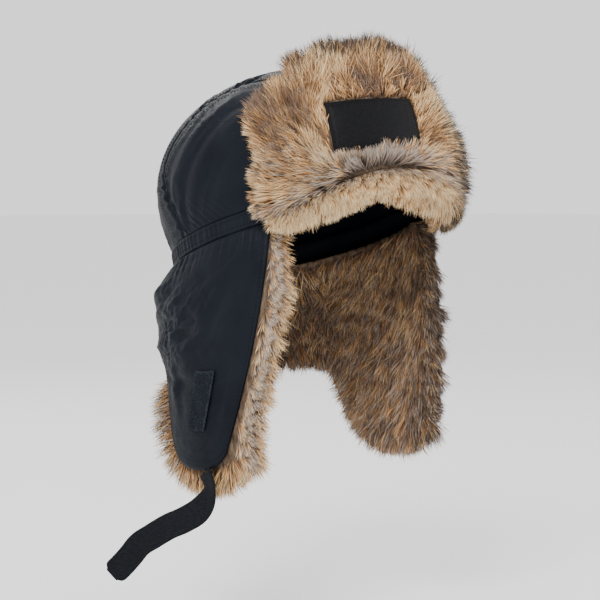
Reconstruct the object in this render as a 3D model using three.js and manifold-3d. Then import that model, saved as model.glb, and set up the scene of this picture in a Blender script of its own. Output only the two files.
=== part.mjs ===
// Trapper hat: a crown and flaps of black nylon, faced and lined with deep brown fur.
// Millimetres, +Z up. The wearer looks along -Y, so the wearer's right is -X.
// The origin is the middle of the opening for the head, in the plane of the band's lower seam.
import * as THREE from 'three';
import { mergeVertices } from 'three/addons/utils/BufferGeometryUtils.js';
import Module from 'manifold-3d';

const wasm = await Module();
wasm.setup();

// Driving dimensions
const HAT_TILT = 17; // degrees that the hat leans back, so that its front is high
const SEAM_GAP = 0.3; // clearance between neighbouring pieces
const BACKING_GAP = 0.9; // between a curved cloth and the fur mat that lies on it
const BAND_HALF_WIDTH = 97; // gathered band, outer face, across the head
const BAND_HALF_DEPTH = 111; // gathered band, outer face, front to back
const BAND_HEIGHT = 13;
const BAND_WALL = 2;
const BAND_RUFFLE = 1.6; // how far the band's gathers stand out
const BAND_GATHERS = 26;
const CROWN_HALF_WIDTH = 101;
const CROWN_HALF_DEPTH = 115;
const CROWN_WAIST = 46; // height of the crown's widest level above the seam
const CROWN_HEIGHT = 133;
const CROWN_WALL = 2.2; // nylon with a thin quilted layer
const CROWN_SHOULDER = 0.93; // below 1 the shoulders are squarer than an ellipse's
const PUCKER_DEPTH = 1.8; // gathers along the crown's seams
const PUCKER_PITCH = 31;
const FLAP_WALL = 2.6; // padded nylon of the ear and neck flap
const FLAP_DROP = 172; // lowest point of the ear flap's nylon below the origin
const FLAP_HEM_HALF_WIDTH = 106;
const FLAP_HEM_HALF_DEPTH = 116;
const FLAP_PUFF = 8; // how far the flap swells below its seam
const LEFT_FLAP_FLARE = 10; // how much further out the left ear flap hangs at its hem
const LEFT_FLAP_TURN = 2; // degrees that its hem swings forward
const LEFT_FLAP_LIFT = 0.05; // how much higher its hem is, as a share of FLAP_DROP
const LEFT_FLAP_CALM = 0.5; // share of FLAP_PUFF by which it swells less
const FRONT_FLAP_HEIGHT = 102; // turned-up front flap, above the seam
const FRONT_FLAP_ANGLE = 57; // degrees that its foot reaches to each side of the front
const FRONT_FLAP_WALL = 2;
const FRONT_FLAP_FLARE = 6; // how far it stands off the crown's widest level
const FRONT_FLAP_TOP_LEAN = 12; // how far its top edge leans back in
const FUR_MAT = 9; // dense lower part of the pile, where the hairs stand close
const FUR_SPILL = 10; // how far the mat stands past the edges of the cloth that it is sewn to
const PILE_LENGTH = 17; // length of the free locks
const LOCK_WIDTH = 15;
const FOREHEAD_ROLL = 25; // height of the rolled fur below the turned-up flap
const LABEL_WIDTH = 72;
const LABEL_HEIGHT = 38;
const LABEL_WALL = 1.4;
const LABEL_ANGLE = 11; // degrees round from the front, to the wearer's right
const LABEL_MIDDLE = 54; // height of its middle above the seam, along the front flap
const LOOP_TAPE_WIDTH = 20;
const LOOP_TAPE_HEIGHT = 48;
const LOOP_TAPE_WALL = 1.6;
const STRAP_LENGTH = 137;
const STRAP_WIDTH = 20;
const STRAP_WALL = 2.2;

const radians = THREE.MathUtils.degToRad;
const degrees = THREE.MathUtils.radToDeg;
const mix = THREE.MathUtils.lerp;
const clamp01 = (value) => Math.min(1, Math.max(0, value));
const SIN_TILT = Math.sin(radians(HAT_TILT));
const COS_TILT = Math.cos(radians(HAT_TILT));

// A fixed fraction from 0 to 1 for each pair of whole numbers, for uneven locks
function scatter(index, salt) {
  const wave = Math.sin(index * 12.9898 + salt * 78.233) * 43758.5453;
  return wave - Math.floor(wave);
}

// A point of the hat's own leaning frame (across, back, up along the crown) in the part's frame
function lean(across, back, up) {
  return new THREE.Vector3(across, back * COS_TILT + up * SIN_TILT, up * COS_TILT - back * SIN_TILT);
}

// A point at an angle round the hat: 0 is the front, 90 the wearer's right, 180 the back
function round(angle, halfWidth, halfDepth, up) {
  return lean(-halfWidth * Math.sin(radians(angle)), -halfDepth * Math.cos(radians(angle)), up);
}

// A smooth curve through a table's rows, read at a share from 0 to 1
function smoothTable(rows) {
  const curve = new THREE.CatmullRomCurve3(rows.map((row) => new THREE.Vector3(...row)), false, 'centripetal');
  return (share) => curve.getPoint(clamp01(share));
}

// A closed wall between two grids of points. Columns run with u and rows with v.
function wallBetween(columns, rows, outerAt, innerAt, { ring = false, rowAt = (v) => v } = {}) {
  const across = ring ? columns : columns + 1;
  const points = [];
  for (const at of [outerAt, innerAt]) {
    for (let i = 0; i < across; i += 1) {
      for (let j = 0; j <= rows; j += 1) {
        points.push(...at(i / columns, rowAt(j / rows)).toArray());
      }
    }
  }
  const id = (side, i, j) => side * across * (rows + 1) + (i % across) * (rows + 1) + j;
  const faces = [];
  const quad = (a, b, c, d) => faces.push(a, b, c, a, c, d);
  for (let i = 0; i < columns; i += 1) {
    for (let j = 0; j < rows; j += 1) {
      quad(id(0, i, j), id(0, i + 1, j), id(0, i + 1, j + 1), id(0, i, j + 1));
      quad(id(1, i, j), id(1, i, j + 1), id(1, i + 1, j + 1), id(1, i + 1, j));
    }
    quad(id(0, i + 1, 0), id(0, i, 0), id(1, i, 0), id(1, i + 1, 0));
    quad(id(0, i, rows), id(0, i + 1, rows), id(1, i + 1, rows), id(1, i, rows));
  }
  for (let j = 0; j < rows && !ring; j += 1) {
    quad(id(0, 0, j), id(0, 0, j + 1), id(1, 0, j + 1), id(1, 0, j));
    quad(id(0, columns, j + 1), id(0, columns, j), id(1, columns, j), id(1, columns, j + 1));
  }
  return outwardGeometry(points, faces);
}

// A geometry whose faces point out, whichever way round they were listed
function outwardGeometry(points, faces) {
  let volume = 0;
  const corner = (k) => new THREE.Vector3().fromArray(points, 3 * faces[k]);
  for (let k = 0; k < faces.length; k += 3) {
    volume += corner(k).dot(corner(k + 1).cross(corner(k + 2)));
  }
  const listed = volume > 0 ? faces : faces.slice().reverse();
  const geometry = new THREE.BufferGeometry();
  geometry.setAttribute('position', new THREE.Float32BufferAttribute(points, 3));
  geometry.setIndex(listed);
  return geometry;
}

// A solid for joining, and back again
function solidOf(geometry) {
  const merged = mergeVertices(geometry, 1e-4);
  return new wasm.Manifold(new wasm.Mesh({
    numProp: 3,
    vertProperties: new Float32Array(merged.attributes.position.array),
    triVerts: new Uint32Array(merged.index.array),
  }));
}

function geometryOf(solid) {
  const mesh = solid.getMesh();
  const geometry = new THREE.BufferGeometry();
  geometry.setAttribute('position', new THREE.BufferAttribute(mesh.vertProperties, 3));
  geometry.setIndex(new THREE.BufferAttribute(mesh.triVerts, 1));
  return geometry;
}

// A lock of fur: a three-sided horn from its root to its tip
function lock(root, aim, length, width) {
  const along = aim.clone().normalize();
  const side = new THREE.Vector3(0, 0, 1).cross(along);
  if (side.lengthSq() < 0.05) side.set(1, 0, 0);
  side.normalize();
  const third = along.clone().cross(side);
  const points = [];
  for (let k = 0; k < 3; k += 1) {
    const turn = radians(120 * k + 90);
    const point = root.clone();
    point.addScaledVector(side, 0.5 * width * Math.cos(turn));
    point.addScaledVector(third, 0.5 * width * Math.sin(turn));
    points.push(...point.toArray());
  }
  points.push(...root.clone().addScaledVector(along, length).toArray());
  return outwardGeometry(points, [0, 2, 1, 0, 1, 3, 1, 2, 3, 2, 0, 3]);
}

// Fur: a mat with its locks fused to it
function fur(mat, locks) {
  let body = solidOf(mat);
  for (const piece of locks) body = body.add(solidOf(piece));
  return geometryOf(body);
}

// Crown
// A direction from the crown's middle becomes a point of its surface. Above the waist the surface
// is a rounded dome, below it the wall draws in to the size of the band.
const CROWN_FOOT = BAND_HEIGHT + SEAM_GAP;
const FOOT_LATITUDE = -45;

function crownPoint(aim, inset) {
  const level = Math.hypot(aim.x, aim.y);
  const angle = Math.atan2(aim.x, aim.y);
  let share = 1;
  let up;
  let halfWidth = CROWN_HALF_WIDTH;
  let halfDepth = CROWN_HALF_DEPTH;
  if (aim.z >= 0) {
    const latitude = Math.atan2(aim.z, level);
    share = Math.cos(latitude) ** CROWN_SHOULDER;
    up = CROWN_WAIST + (CROWN_HEIGHT - CROWN_WAIST - inset) * Math.sin(latitude) ** CROWN_SHOULDER;
  } else {
    const fall = clamp01(aim.z / Math.sin(radians(FOOT_LATITUDE)));
    up = mix(CROWN_WAIST, CROWN_FOOT, fall);
    halfWidth = mix(CROWN_HALF_WIDTH, BAND_HALF_WIDTH, fall ** 2);
    halfDepth = mix(CROWN_HALF_DEPTH, BAND_HALF_DEPTH, fall ** 2);
  }
  return lean((halfWidth - inset) * share * Math.sin(angle), (halfDepth - inset) * share * Math.cos(angle), up);
}

// The seam of the wearer's right side, from the front hem over the top to the back hem, in degrees:
// angle round the hat, latitude, and the latitude on the crown's middle line (over 90 is the back)
const CROWN_SEAM = [
  [24, FOOT_LATITUDE, FOOT_LATITUDE],
  [24, -2, -2],
  [31, 30, 32],
  [47, 49, 60],
  [69, 54, 76],
  [88, 47, 92],
  [100, 37, 106],
  [108, 27, 124],
  [113, 14, 148],
  [110, -5, 180],
  [106, -24, 204],
  [106, FOOT_LATITUDE, 180 - FOOT_LATITUDE],
];
const crownSeam = smoothTable(CROWN_SEAM);
const CROWN_SEAM_LENGTH = 2 * (CROWN_HEIGHT - CROWN_FOOT) + CROWN_HALF_DEPTH;
const PUCKERS = Math.round(CROWN_SEAM_LENGTH / PUCKER_PITCH);
const SEAM_STEPS = 3 * PUCKERS;
const SIDE_ROWS = Math.round(SEAM_STEPS / 6); // steps of the seam up the front of a side panel
const SIDE_CORNER = SIDE_ROWS / SEAM_STEPS;

function direction(angle, latitude) {
  const level = Math.cos(radians(latitude));
  return new THREE.Vector3(
    -level * Math.sin(radians(angle)), -level * Math.cos(radians(angle)), Math.sin(radians(latitude)));
}

// Gathers stand out and in along the seam and die away from it
function pucker(share, distance) {
  return PUCKER_DEPTH * Math.cos(2 * Math.PI * PUCKERS * share) * Math.exp(-6 * distance);
}

// Rows stand closer to the two long edges of the strip
function closeToEdges(v) {
  return v - 0.03 * Math.sin(4 * Math.PI * v);
}

function crownStrip() {
  const trim = SEAM_GAP / (2 * CROWN_HALF_WIDTH);
  const at = (inset) => (u, v) => {
    const across = mix(trim, 1 - trim, v);
    const seam = crownSeam(u);
    const right = direction(seam.x, seam.y);
    const left = right.clone().multiply(new THREE.Vector3(-1, 1, 1));
    const ridge = direction(0, seam.z);
    const aim = right.multiplyScalar((1 - across) * (1 - 2 * across));
    aim.addScaledVector(ridge, 4 * across * (1 - across));
    aim.addScaledVector(left, across * (2 * across - 1));
    return crownPoint(aim, inset - pucker(u, 2 * Math.min(v, 1 - v)));
  };
  return wallBetween(SEAM_STEPS, 8, at(0), at(CROWN_WALL), { rowAt: closeToEdges });
}

// A side panel fills the seam's arch: its top and both its ends follow the seam, and it is blended
// between them in angle and latitude
function crownSide(side) {
  const trim = SEAM_GAP / CROWN_HALF_DEPTH;
  const seamAngles = (share) => new THREE.Vector2(crownSeam(share).x, crownSeam(share).y);
  const frontFoot = seamAngles(0);
  const backFoot = seamAngles(1);
  const frontTop = seamAngles(SIDE_CORNER);
  const backTop = seamAngles(1 - SIDE_CORNER);
  const at = (inset) => (u, v) => {
    const along = mix(trim, 1 - trim, u);
    const down = mix(2 * trim, 1, v);
    const top = seamAngles(mix(SIDE_CORNER, 1 - SIDE_CORNER, u));
    const front = seamAngles(SIDE_CORNER * (1 - v));
    const back = seamAngles(1 - SIDE_CORNER * (1 - v));
    const place = top.multiplyScalar(1 - down).addScaledVector(frontFoot, down * (1 - along));
    place.addScaledVector(backFoot, down * along);
    place.addScaledVector(front, 1 - along).addScaledVector(back, along);
    place.addScaledVector(frontTop, -(1 - along) * (1 - down)).addScaledVector(backTop, -along * (1 - down));
    place.addScaledVector(frontFoot, -(1 - along) * down).addScaledVector(backFoot, -along * down);
    const ripple = pucker(mix(SIDE_CORNER, 1 - SIDE_CORNER, u), v);
    const point = crownPoint(direction(place.x, place.y), inset - ripple);
    return point.multiply(new THREE.Vector3(side, 1, 1));
  };
  return wallBetween(SEAM_STEPS - 2 * SIDE_ROWS, SIDE_ROWS, at(0), at(CROWN_WALL));
}

// Gathered band between the crown and the flaps
function gatheredBand() {
  const at = (inset) => (u, v) => {
    const swell = BAND_RUFFLE * Math.sin(Math.PI * v) * (0.5 + 0.5 * Math.cos(2 * Math.PI * BAND_GATHERS * u));
    return round(360 * u, BAND_HALF_WIDTH - inset + swell, BAND_HALF_DEPTH - inset + swell, v * BAND_HEIGHT);
  };
  return wallBetween(3 * BAND_GATHERS, 2, at(0), at(BAND_WALL), { ring: true });
}

// Ear and neck flap
// Half of the hem, from the front edge of the right ear flap to the middle of the back:
// angle at the seam, angle at the hem, and the hem's depth as a share of FLAP_DROP
const FLAP_HEM = [
  [58.6, 76.7, 0.92],
  [65.3, 81.4, 0.975],
  [73, 90, 1],
  [82, 99, 0.995],
  [90, 107, 0.955],
  [97, 112, 0.87],
  [104, 115, 0.76],
  [111, 117, 0.66],
  [119, 121, 0.59],
  [134, 134, 0.565],
  [156, 156, 0.57],
  [180, 180, 0.58],
];
const flapHem = smoothTable(FLAP_HEM);
const FRONT_EDGE_BEND = 1.9; // above 1 the front edge falls straight before it slants back
const FLAP_COLUMNS = 46;
const FLAP_ROWS = 7;
const SPILL_LEAN = 0.5; // how far the spilled fur leans in, for each millimetre past the hem

// Folds of the flap's nylon: angle, share of the drop, half length and half width as shares of
// FLAP_DROP, slope in degrees from level, and height as a share of FLAP_PUFF
const FLAP_FOLDS = [
  [126, 0.13, 0.13, 0.14, 0, 0.7],
  [112, 0.36, 0.16, 0.035, -12, -0.32],
  [104, 0.44, 0.14, 0.04, -50, 0.2],
  [118, 0.44, 0.12, 0.035, 20, -0.2],
  [80, 0.3, 0.14, 0.04, 62, -0.3],
  [100, 0.62, 0.12, 0.03, -8, -0.35],
  [142, 0.45, 0.13, 0.05, 8, -0.2],
  [175, 0.6, 0.15, 0.05, -6, -0.4],
];

function flapFold(angle, drop) {
  let height = 0;
  for (const [foldAngle, foldDrop, halfLength, halfWidth, slope, share] of FLAP_FOLDS) {
    const across = radians(angle - foldAngle) * FLAP_HEM_HALF_WIDTH / FLAP_DROP;
    const down = drop - foldDrop;
    const along = across * Math.cos(radians(slope)) + down * Math.sin(radians(slope));
    const beside = down * Math.cos(radians(slope)) - across * Math.sin(radians(slope));
    height += FLAP_PUFF * share * Math.exp(-((along / halfLength) ** 2) - (beside / halfWidth) ** 2);
  }
  return height;
}

// Which way is out of the hem, in the unrolled flap: round the hat and down
function hemNormal(share) {
  const step = 0.01;
  const before = flapHem(share - step);
  const after = flapHem(share + step);
  const normal = new THREE.Vector2(
    (after.z - before.z) * -FLAP_DROP, radians(after.y - before.y) * FLAP_HEM_HALF_WIDTH);
  return normal.normalize();
}

// A point of the flap: u from the right front edge round the back to the left front edge, v from
// the seam to the hem, at a depth inwards from the outer face, and spilling past the edges
function flapPoint(u, v, depth, spill = 0) {
  const side = u <= 0.5 ? 1 : -1;
  const half = u <= 0.5 ? 2 * u : 2 - 2 * u;
  const hem = flapHem(half);
  const hemRow = clamp01(1 - (1 - v) * FLAP_ROWS);
  const edgeColumn = clamp01(1 - 0.5 * half * FLAP_COLUMNS);
  const loose = side < 0 ? Math.sin(0.5 * Math.PI * clamp01(2 - 2 * half)) ** 2 : 0;
  const past = hemNormal(half).multiplyScalar(spill * hemRow);
  past.x -= spill * edgeColumn * Math.sin(0.5 * Math.PI * clamp01(4 * v));
  const hemAngle = hem.y - LEFT_FLAP_TURN * loose;
  const angle = mix(hem.x, hemAngle, clamp01(v) ** FRONT_EDGE_BEND) + degrees(past.x / FLAP_HEM_HALF_WIDTH);
  const seam = round(hem.x, BAND_HALF_WIDTH, BAND_HALF_DEPTH - depth, -SEAM_GAP);
  const height = mix(seam.z, -FLAP_DROP * hem.z * (1 - LEFT_FLAP_LIFT * loose), v) - past.y;
  const puff = FLAP_PUFF * (1 - LEFT_FLAP_CALM * loose) * Math.sin(Math.PI * clamp01(v) ** 0.75);
  const fold = flapFold(angle, clamp01(v) * hem.z) * Math.sin(Math.PI * clamp01(v)) ** 0.5;
  const flare = LEFT_FLAP_FLARE * loose * clamp01(v) ** 2;
  const out = puff + fold + flare - depth - SPILL_LEAN * spill * hemRow;
  const halfWidth = mix(BAND_HALF_WIDTH, FLAP_HEM_HALF_WIDTH, v) + out;
  const halfDepth = mix(BAND_HALF_DEPTH * COS_TILT, FLAP_HEM_HALF_DEPTH, v) + out;
  return new THREE.Vector3(
    -side * halfWidth * Math.sin(radians(angle)),
    -halfDepth * Math.cos(radians(angle)) - SEAM_GAP * SIN_TILT * (1 - v),
    height);
}

function earNeckFlap() {
  const at = (depth) => (u, v) => flapPoint(u, v, depth);
  return wallBetween(FLAP_COLUMNS, FLAP_ROWS, at(0), at(FLAP_WALL));
}

// Fur lining of the ear and neck flap, with locks past its edges and over its inner face
const EDGE_LOCKS = 5; // along each front edge
const HEM_LOCKS = 27;
const INNER_LOCK_ROWS = 2;
const INNER_LOCK_COLUMNS = 8;

function flapFur() {
  const back = FLAP_WALL + BACKING_GAP;
  const at = (depth) => (u, v) => flapPoint(u, v, depth, FUR_SPILL);
  const mat = wallBetween(FLAP_COLUMNS, FLAP_ROWS, at(back), at(back + FUR_MAT));
  const locks = [];
  const place = (u, v, alongU, alongV, outward, salt) => {
    const root = at(back + (outward < 0 ? 0.8 : 0.5) * FUR_MAT)(u, v);
    const stepU = flapPoint(u + 0.01, v, 0).sub(flapPoint(u - 0.01, v, 0)).normalize();
    const stepV = flapPoint(u, v, 0).sub(flapPoint(u, v - 0.01, 0)).normalize();
    const out = flapPoint(u, v, 0).sub(flapPoint(u, v, 1));
    const aim = stepU.multiplyScalar(alongU).addScaledVector(stepV, alongV).addScaledVector(out, outward);
    const length = PILE_LENGTH * (0.8 + 0.4 * scatter(salt, 1));
    const width = LOCK_WIDTH * (0.8 + 0.3 * scatter(salt, 3));
    root.addScaledVector(aim.normalize(), -0.25 * width);
    locks.push(lock(root, aim, length, width));
  };
  for (let k = 0; k < EDGE_LOCKS; k += 1) {
    const v = (k + 0.8) / EDGE_LOCKS;
    place(0.004, v, -1, 0.6, 0.1, k);
    place(0.996, v, 1, 0.6, 0.1, k + 50);
  }
  for (let k = 0; k < HEM_LOCKS; k += 1) {
    const u = (k + 0.5) / HEM_LOCKS;
    const besideStrap = Math.abs(u - STRAP_START_U) < 1.2 / HEM_LOCKS;
    place(u, 1, 0.5 * (scatter(k, 4) - 0.5), 1, besideStrap ? -0.5 : 0.1, k + 100);
  }
  for (let row = 0; row < INNER_LOCK_ROWS; row += 1) {
    for (let k = 0; k < INNER_LOCK_COLUMNS; k += 1) {
      const u = (k + 0.5 + 0.4 * (row % 2)) / (INNER_LOCK_COLUMNS + 0.4);
      const v = (row + 1) / (INNER_LOCK_ROWS + 1);
      place(u, v, 0.6 * (scatter(k, row) - 0.5), 0.8, -0.9, 200 + 20 * row + k);
    }
  }
  return fur(mat, locks);
}

// Front flap, turned up against the crown
const FRONT_FLAP_CORNER_DROP = 0.1; // how much lower its corners are than its middle
const FRONT_FLAP_TAPER = 0.2; // how much narrower its top is than its foot
const FRONT_FLAP_STEP = BAND_RUFFLE; // how far it stands off the band's gathers, past the seam

function frontFlapHeight(angle) {
  return FRONT_FLAP_HEIGHT * (1 - FRONT_FLAP_CORNER_DROP * (angle / FRONT_FLAP_ANGLE) ** 2);
}

function frontFlapReach(share) {
  return FRONT_FLAP_ANGLE * (1 - FRONT_FLAP_TAPER * clamp01(share) ** 3);
}

// A point of it: angle round from the front, height above the seam, distance out from its inner face
function frontFlapPoint(angle, up, out) {
  const open = Math.sin(0.5 * Math.PI * clamp01(up / (1.5 * CROWN_WAIST)));
  const past = out - FRONT_FLAP_TOP_LEAN * clamp01(up / FRONT_FLAP_HEIGHT) ** 4;
  const foot = SEAM_GAP + FRONT_FLAP_STEP * clamp01(up / (0.4 * BAND_HEIGHT));
  const halfWidth = mix(BAND_HALF_WIDTH + foot, CROWN_HALF_WIDTH + FRONT_FLAP_FLARE, open) + past;
  const halfDepth = mix(BAND_HALF_DEPTH + foot, CROWN_HALF_DEPTH + FRONT_FLAP_FLARE, open) + past;
  return round(angle, halfWidth, halfDepth, up);
}

function frontFlap() {
  const at = (out) => (u, v) => {
    const angle = mix(1, -1, u) * frontFlapReach(v);
    return frontFlapPoint(angle, v * frontFlapHeight(angle), out);
  };
  return wallBetween(20, 5, at(FRONT_FLAP_WALL), at(0));
}

// Fur on the flap, from the rolled fur up and past the flap's other edges
const FRONT_FUR_BASE = FRONT_FLAP_WALL + BACKING_GAP;
const FOREHEAD_DROP = 5; // how far the rolled fur's mat reaches below the band's seam
const FOREHEAD_END_SHARE = 0.08; // what is left of the roll's height above the seam at its ends
const FRONT_LOCK_ROWS = 5;
const FRONT_LOCK_COLUMNS = 12;

// Height of the crease between the two furs, which falls towards the ends of the roll
function creaseHeight(angle) {
  const toEnd = Math.sin(0.5 * Math.PI * clamp01(Math.abs(angle) / FRONT_FLAP_ANGLE)) ** 3;
  return (FOREHEAD_ROLL - FOREHEAD_DROP) * mix(1, FOREHEAD_END_SHARE, toEnd);
}

function frontFurPlace(u, v) {
  const angle = mix(1, -1, u) * (frontFlapReach(v) + degrees(FUR_SPILL / CROWN_HALF_WIDTH));
  return { angle, up: mix(creaseHeight(angle) + SEAM_GAP, frontFlapHeight(angle) + FUR_SPILL, v) };
}

function frontFlapFur() {
  const at = (out) => (u, v) => {
    const { angle, up } = frontFurPlace(u, v);
    return frontFlapPoint(angle, up, out);
  };
  const mat = wallBetween(24, 5, at(FRONT_FUR_BASE + FUR_MAT), at(FRONT_FUR_BASE));
  const locks = [];
  for (let row = 0; row < FRONT_LOCK_ROWS; row += 1) {
    for (let k = 0; k < FRONT_LOCK_COLUMNS; k += 1) {
      const salt = 400 + 30 * row + k;
      const u = (k + 0.25 + 0.5 * (row % 2)) / FRONT_LOCK_COLUMNS;
      const v = (row + 0.95) / FRONT_LOCK_ROWS;
      const { angle, up } = frontFurPlace(u, v);
      const beside = Math.abs(radians(angle - LABEL_ANGLE)) * CROWN_HALF_WIDTH;
      const above = Math.abs(up - LABEL_MIDDLE);
      if (beside < 0.5 * (LABEL_WIDTH + LOCK_WIDTH) && above < 0.5 * LABEL_HEIGHT + LOCK_WIDTH) continue;
      const aim = round(angle, 1, 1, 0).normalize();
      const sideways = 1.6 * (2 * u - 1) ** 3 + 0.5 * (0.5 - scatter(salt, 5));
      aim.addScaledVector(round(angle - 90, 1, 1, 0).normalize(), sideways);
      aim.addScaledVector(lean(0, 0, 1), v > 0.8 ? 1.8 : 0.9 * v - 0.2);
      const length = PILE_LENGTH * (0.85 + 0.4 * scatter(salt, 6));
      const root = at(FRONT_FUR_BASE + 0.5 * FUR_MAT)(u, v);
      locks.push(lock(root, aim, length, LOCK_WIDTH * (0.9 + 0.4 * scatter(salt, 7))));
    }
  }
  return fur(mat, locks);
}

// Rolled fur over the forehead, between the opening and the turned-up flap
const FOREHEAD_LOCKS = 14;

function foreheadFur() {
  const at = (out) => (u, v) => {
    const angle = mix(1, -1, u) * (FRONT_FLAP_ANGLE + degrees(0.4 * FUR_SPILL / BAND_HALF_WIDTH));
    const up = mix(creaseHeight(angle), -FOREHEAD_DROP, v);
    const swell = 0.35 * FUR_MAT * Math.sin(Math.PI * v) * (out > FRONT_FUR_BASE ? 1 : 0);
    return frontFlapPoint(angle, up, out + swell);
  };
  const mat = wallBetween(24, 3, at(FRONT_FUR_BASE + FUR_MAT), at(FRONT_FUR_BASE));
  const locks = [];
  for (let row = 0; row < 2; row += 1) {
    for (let k = 0; k < FOREHEAD_LOCKS; k += 1) {
      const salt = 700 + 40 * row + k;
      const u = (k + 0.5 * row + 0.25) / FOREHEAD_LOCKS;
      const root = at(FRONT_FUR_BASE + 0.5 * FUR_MAT)(u, row === 0 ? 0.9 : 0.45);
      const aim = round(mix(1, -1, u) * FRONT_FLAP_ANGLE, 1, 1, 0).normalize();
      aim.multiplyScalar(row === 0 ? 0.45 : 1.1);
      aim.add(lean(0.5 * (scatter(salt, 8) - 0.5), 0, -1));
      const length = (row === 0 ? 0.7 : 0.9) * PILE_LENGTH * (0.8 + 0.4 * scatter(salt, 9));
      locks.push(lock(root, aim, length, LOCK_WIDTH * 0.9));
    }
  }
  return fur(mat, locks);
}

// Bare woven label on the front flap's fur
function label() {
  const halfAngle = degrees(0.5 * LABEL_WIDTH / (CROWN_HALF_WIDTH + FUR_MAT));
  const base = FRONT_FUR_BASE + FUR_MAT + SEAM_GAP;
  const at = (out) => (u, v) => {
    const angle = LABEL_ANGLE + mix(halfAngle, -halfAngle, u);
    const height = LABEL_MIDDLE + mix(-0.5, 0.5, v) * LABEL_HEIGHT;
    return frontFlapPoint(angle, height, base + out);
  };
  return wallBetween(12, 3, at(LABEL_WALL), at(0));
}

// Loop tape sewn on the ear flap, for the hooks of the strap
const LOOP_TAPE_U = 0.118; // place of its middle along the flap and down it
const LOOP_TAPE_V = 0.7;
const TAPE_CLEARANCE = 4 * SEAM_GAP; // over the swelling of the flap below it

function loopTape(placeU) {
  const middle = flapPoint(placeU, LOOP_TAPE_V, 0);
  const stepU = flapPoint(placeU + 0.01, LOOP_TAPE_V, 0).distanceTo(middle) / 0.01;
  const stepV = flapPoint(placeU, LOOP_TAPE_V + 0.01, 0).distanceTo(middle) / 0.01;
  const at = (depth) => (u, v) => {
    const along = placeU + (u - 0.5) * LOOP_TAPE_WIDTH / stepU;
    const down = LOOP_TAPE_V + (v - 0.5) * LOOP_TAPE_HEIGHT / stepV;
    return flapPoint(along, down, depth);
  };
  return wallBetween(3, 5, at(-TAPE_CLEARANCE - LOOP_TAPE_WALL), at(-TAPE_CLEARANCE));
}

// Chin strap with hooks, loose below the right ear flap
// Its middle line from the flap's hem, as shares of STRAP_LENGTH: outwards, back and down,
// and the turn of its face in degrees round the upright axis, 0 facing the wearer's right
const STRAP_PATH = [
  [0, 0, 0.009, -18],
  [-0.004, -0.037, 0.079, -14],
  [0.003, -0.03, 0.146, -4],
  [0.023, 0.016, 0.216, 8],
  [0.045, 0.122, 0.281, 22],
  [0.065, 0.24, 0.333, 34],
  [0.094, 0.356, 0.401, 42],
  [0.116, 0.439, 0.454, 46],
  [0.138, 0.504, 0.529, 48],
  [0.161, 0.56, 0.591, 48],
  [0.187, 0.609, 0.641, 48],
];
const STRAP_START_U = 0.075; // where it leaves the hem
const STRAP_END_ROUND = 0.09; // share of the length over which the end is rounded

function chinStrap() {
  const start = flapPoint(STRAP_START_U, 1, SEAM_GAP);
  const line = new THREE.CatmullRomCurve3(STRAP_PATH.map(([outwards, back, down]) => new THREE.Vector3(
    start.x - outwards * STRAP_LENGTH, start.y + back * STRAP_LENGTH, start.z - down * STRAP_LENGTH - SEAM_GAP)));
  const turns = smoothTable(STRAP_PATH.map((row) => [row[3], 0, 0]));
  const at = (lift) => (u, v) => {
    const middle = line.getPoint(u);
    const tangent = line.getTangent(u);
    const turn = radians(turns(u).x);
    const face = new THREE.Vector3(-Math.cos(turn), -Math.sin(turn), 0);
    const across = face.clone().cross(tangent).normalize();
    const fromEnd = clamp01((1 - u) / STRAP_END_ROUND);
    const halfWidth = 0.5 * STRAP_WIDTH * Math.max(0.35, Math.sqrt(1 - (1 - fromEnd) ** 2));
    const normal = tangent.clone().cross(across).normalize();
    return middle.addScaledVector(across, (2 * v - 1) * halfWidth).addScaledVector(normal, lift);
  };
  return wallBetween(28, 1, at(0.5 * STRAP_WALL), at(-0.5 * STRAP_WALL));
}

// Materials and the assembly
const nylon = new THREE.MeshStandardMaterial({ color: 0x1c1f28, roughness: 0.45, metalness: 0 });
const pile = new THREE.MeshStandardMaterial({ color: 0xa87f58, roughness: 0.95, metalness: 0 });
const satin = new THREE.MeshStandardMaterial({ color: 0x0d0d0f, roughness: 0.6, metalness: 0 });
const tape = new THREE.MeshStandardMaterial({ color: 0x15161a, roughness: 0.9, metalness: 0 });

const hat = new THREE.Group();
hat.name = 'trapper_hat';

function piece(name, geometry, material) {
  const mesh = new THREE.Mesh(geometry, material);
  mesh.name = name;
  hat.add(mesh);
}

piece('crown_center_strip', crownStrip(), nylon);
piece('crown_side_right', crownSide(1), nylon);
piece('crown_side_left', crownSide(-1), nylon);
piece('gathered_band', gatheredBand(), nylon);
piece('ear_neck_flap', earNeckFlap(), nylon);
piece('flap_fur', flapFur(), pile);
piece('front_flap', frontFlap(), nylon);
piece('front_flap_fur', frontFlapFur(), pile);
piece('forehead_fur', foreheadFur(), pile);
piece('label', label(), satin);
piece('loop_tape_right', loopTape(LOOP_TAPE_U), tape);
piece('loop_tape_left', loopTape(1 - LOOP_TAPE_U), tape);
piece('chin_strap', chinStrap(), tape);

export default hat;
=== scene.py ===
"""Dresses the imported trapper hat: nylon crown and flaps, deep fur, a bare label and a strap.

Shapes are worked out in millimetres with numpy, on grids of two shares u and v from 0 to 1, and
put into meshes in metres. The wearer looks along -Y, the wearer's right is -X and +Z is up. Angles
go round the hat in degrees: 0 is the front, 90 the wearer's right and 180 the back.
"""
import math

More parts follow.
